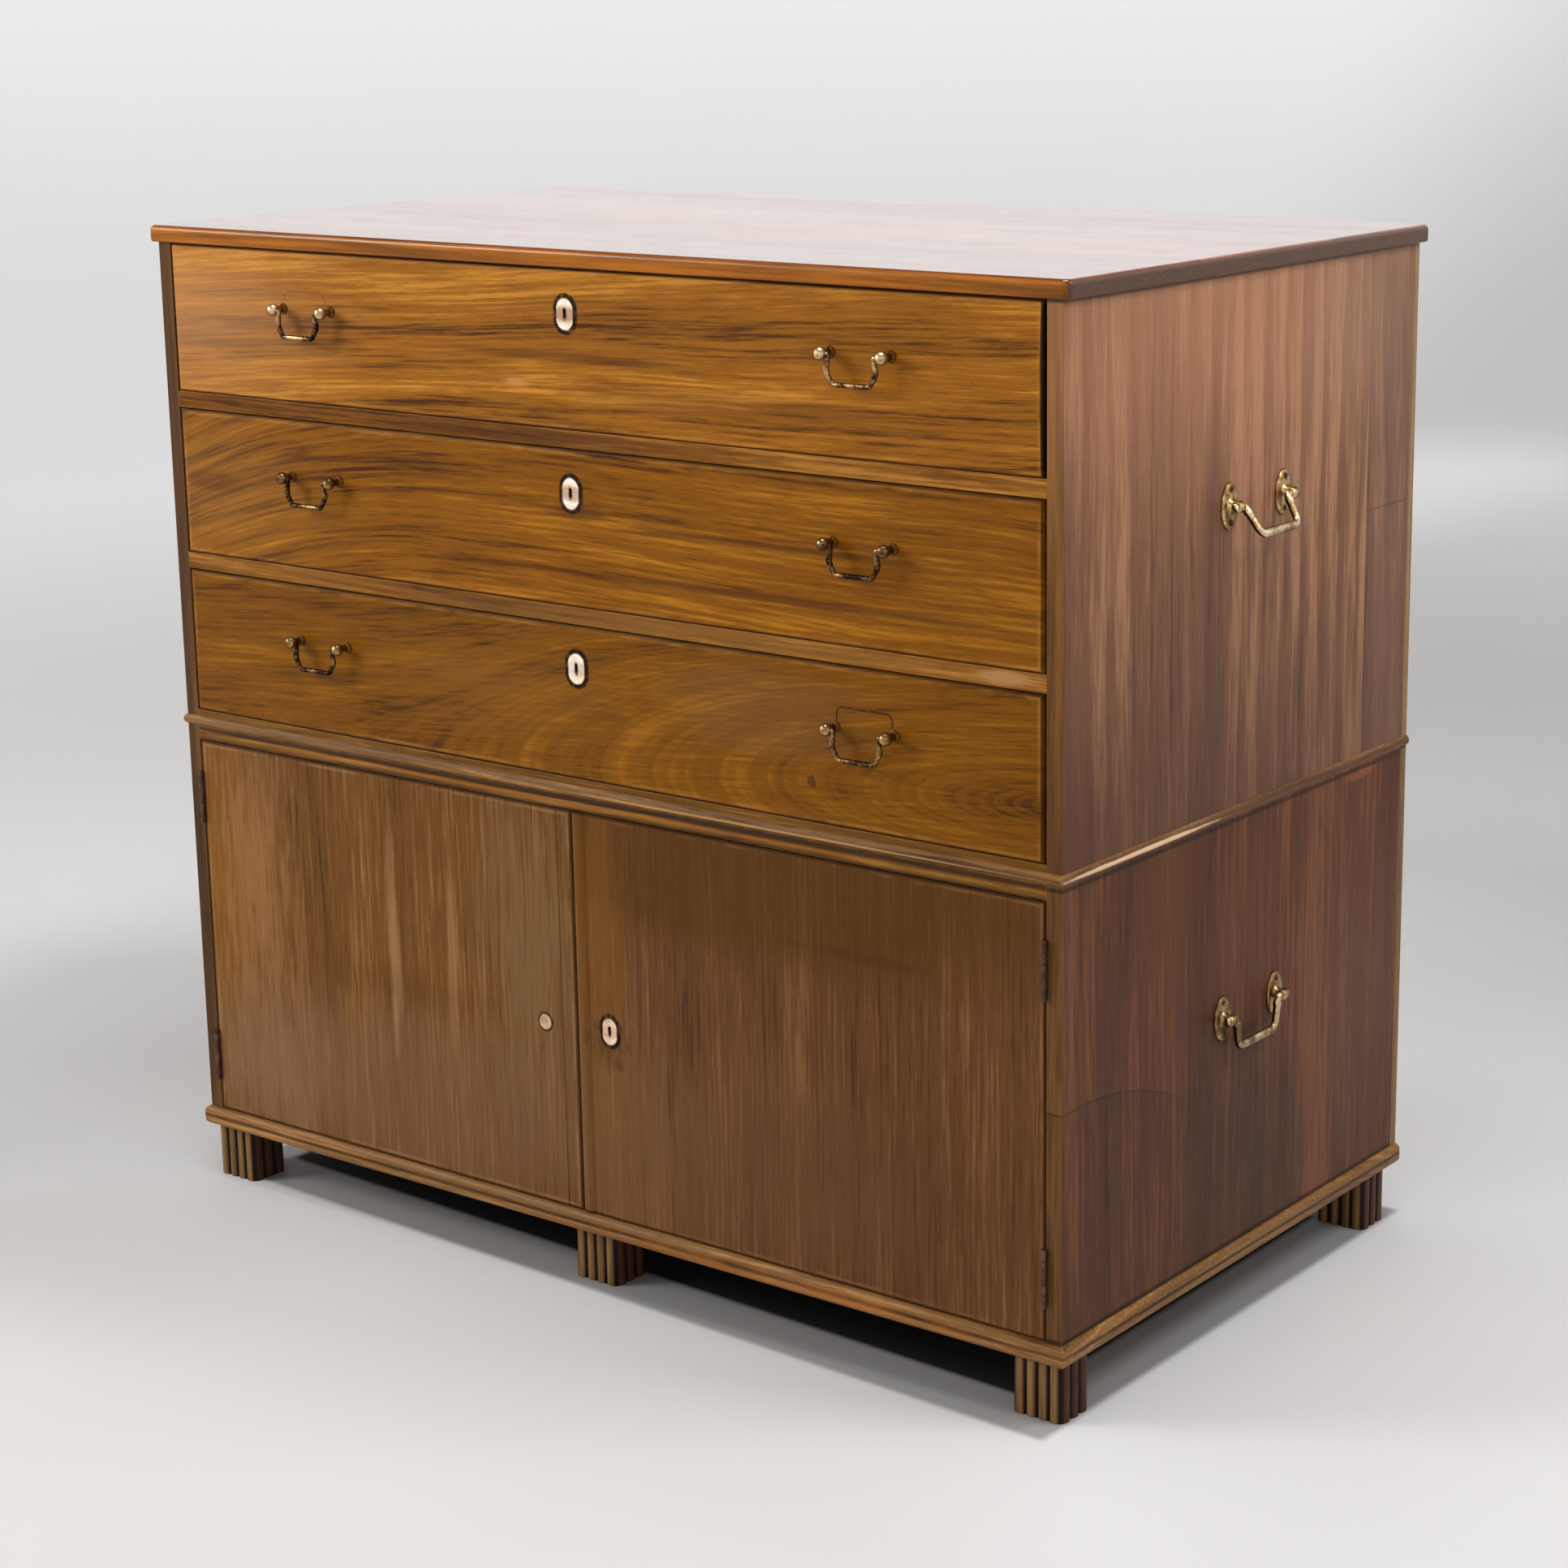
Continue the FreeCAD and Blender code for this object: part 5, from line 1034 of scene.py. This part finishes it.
lamps = dict(
    key=dict(at=(-2.3, -2.2, 2), aim=(-0.2, -0.25, 0.7), size=(1.1, 1.1), power=60, colour=(1, 0.98, 0.95)),
    top=dict(at=(0.3, -0.1, 3.4), aim=(0.2, 0, 0.5), size=(1.5, 1.5), power=68, colour=(1, 1, 1)),
    fill=dict(at=(1.8, 0.5, 2.2), aim=(0.4, 0, 0.7), size=(0.8, 0.8), power=24, colour=(1, 0.99, 0.98)))


def studioDish():
    # a floor that turns up into a wall all the way round: radius and height follow a quarter circle
    arc = np.linspace(0, math.pi / 2, 24)
    flat, wall = studio["floorRadius"], studio["wallRadius"]
    radius = np.concatenate([np.linspace(0, flat, 12)[:-1], flat + wall * np.sin(arc), [flat + wall]])
    height = np.concatenate([np.zeros(11), wall * (1 - np.cos(arc)), [studio["wallHigh"]]])
    around = np.linspace(0, 2 * math.pi, 129)[:-1]
    return np.stack([np.outer(radius, np.cos(around)), np.outer(radius, np.sin(around)),
                     np.repeat(height[:, None], 128, 1)], -1)


def floorMaterial():
    # tone times (1 - mask * amount) for each shade; the light of a white room is a glow added to it
    material, g = newMaterial("paperFloor")

    def dimmed(value, mask, amount):
        return g.times(value, g.timesPlus(mask, -amount, 1))

    place = g.place()
    x, y, z = g.parts(place)
    away = g.length(g.joined(x, y, 0))
    ring = g.times(g.between(away, *studio["ringFrom"]), g.between(away, *studio["ringTo"]))
    tone = g.timesPlus(ring, -studio["ringShade"], studio["floorTone"])
    tone = g.swing(tone, g.noise(place, 3, 3, 0.5), 0.02)
    start, end, amount = studio["wallTone"]
    tone = g.timesPlus(g.between(z, start, end), amount, tone)
    for at, size, soft, amount in studio["shades"]:
        mask = spotMask(g, place, dict(at=at, size=size, soft=soft, uneven=0.1), (3, 3, 3))
        tone = dimmed(tone, mask, amount)
    sideways = g.minus(x, caseMiddle)
    fromMiddle, fromCentre = g.size(sideways), g.size(y)
    leaning = g.timesPlus(x, studio["lean"], fromCentre)
    under = g.times(g.between(fromMiddle, *studio["underSides"]), g.between(leaning, *studio["underFront"]))
    core = g.times(g.between(sideways, *studio["coreRight"]), g.between(sideways, *studio["coreLeft"]))
    core = g.times(core, g.between(leaning, *studio["coreFront"]))
    band = g.times(under, g.minus(1, core))
    wide, deep = studio["caseHalf"]
    beyond = g.most(g.minus(fromMiddle, wide), g.minus(fromCentre, deep))
    halo = g.times(g.between(beyond, studio["haloReach"], 0), g.minus(1, under))
    halo = g.times(halo, g.between(z, studio["haloHigh"], 0))
    tone = dimmed(dimmed(tone, core, studio["coreShade"]), band, studio["bandShade"])
    glow = None
    for value, (start, end, amount) in zip((away, z, z, x), studio["glows"].values()):
        part = g.between(value, start, end)
        glow = g.timesPlus(part, amount, glow) if glow else g.times(part, amount)
    corner = [g.between(value, *ends) for value, ends in zip((x, x, y, away), studio["corner"])]
    glow = g.timesPlus(reduce(g.times, corner), -studio["cornerFall"], glow)
    glow = g.timesPlus(halo, studio["haloGlow"], glow)
    g.surface({"Base Color": g.joined(tone, g.times(tone, 0.99), g.times(tone, 0.985)),
               "Roughness": g.timesPlus(core, 0.25, 0.75), "Specular IOR Level": 0.2,
               "Emission Color": g.joined(glow, glow, glow), "Emission Strength": 1})
    return material


meshObject("studioFloor", [studioDish()], floorMaterial())


def areaLight(name, at, aim, size, power, colour):
    # a rectangle at one point that looks at another
    lamp = bpy.data.lights.new(name, "AREA")
    lamp.shape, lamp.size, lamp.size_y = "RECTANGLE", *size
    lamp.energy, lamp.color = power, colour
    holder = bpy.data.objects.new(name, lamp)
    holder.location = at
    holder.visible_camera = False
    holder.rotation_euler = (Vector(aim) - Vector(at)).to_track_quat("-Z", "Y").to_euler()
    bpy.context.scene.collection.objects.link(holder)


for name, lamp in lamps.items():
    areaLight(name, **lamp)

world = bpy.data.worlds.new("studioAir")
world.use_nodes = True
background = world.node_tree.nodes["Background"]
background.inputs[0].default_value = (0.97, 0.98, 1, 1)
background.inputs[1].default_value = studio["world"]
bpy.context.scene.world = world
bpy.context.scene.view_settings.view_transform = "Standard"


# Camera

lens = dict(at=(1.8502, -2.3283, 1.1695), azimuth=36.551, elevation=13.575, roll=-0.602, long=75.34,
            shift=(-0.0678, -0.028))


def placeCamera():
    # the camera's axes from its azimuth, elevation and roll about its own line of sight
    turn, rise, roll = (math.radians(lens[key]) for key in ("azimuth", "elevation", "roll"))
    back = np.array([math.sin(turn) * math.cos(rise), -math.cos(turn) * math.cos(rise), math.sin(rise)])
    right = np.array([math.cos(turn), math.sin(turn), 0])
    up = np.cross(back, right)
    right, up = (math.cos(roll) * right + math.sin(roll) * up, math.cos(roll) * up - math.sin(roll) * right)
    data = bpy.data.cameras.new("studioCamera")
    data.lens, data.sensor_width = lens["long"], 36
    data.shift_x, data.shift_y = lens["shift"]
    data.clip_start, data.clip_end = 0.05, 100
    camera = bpy.data.objects.new("studioCamera", data)
    camera.matrix_world = Matrix([[*row, place] for row, place in
                                  zip(np.stack([right, up, back], 1).tolist(), lens["at"])] + [[0, 0, 0, 1]])
    bpy.context.scene.collection.objects.link(camera)
    bpy.context.scene.camera = camera


placeCamera()
print("studio and camera ready")
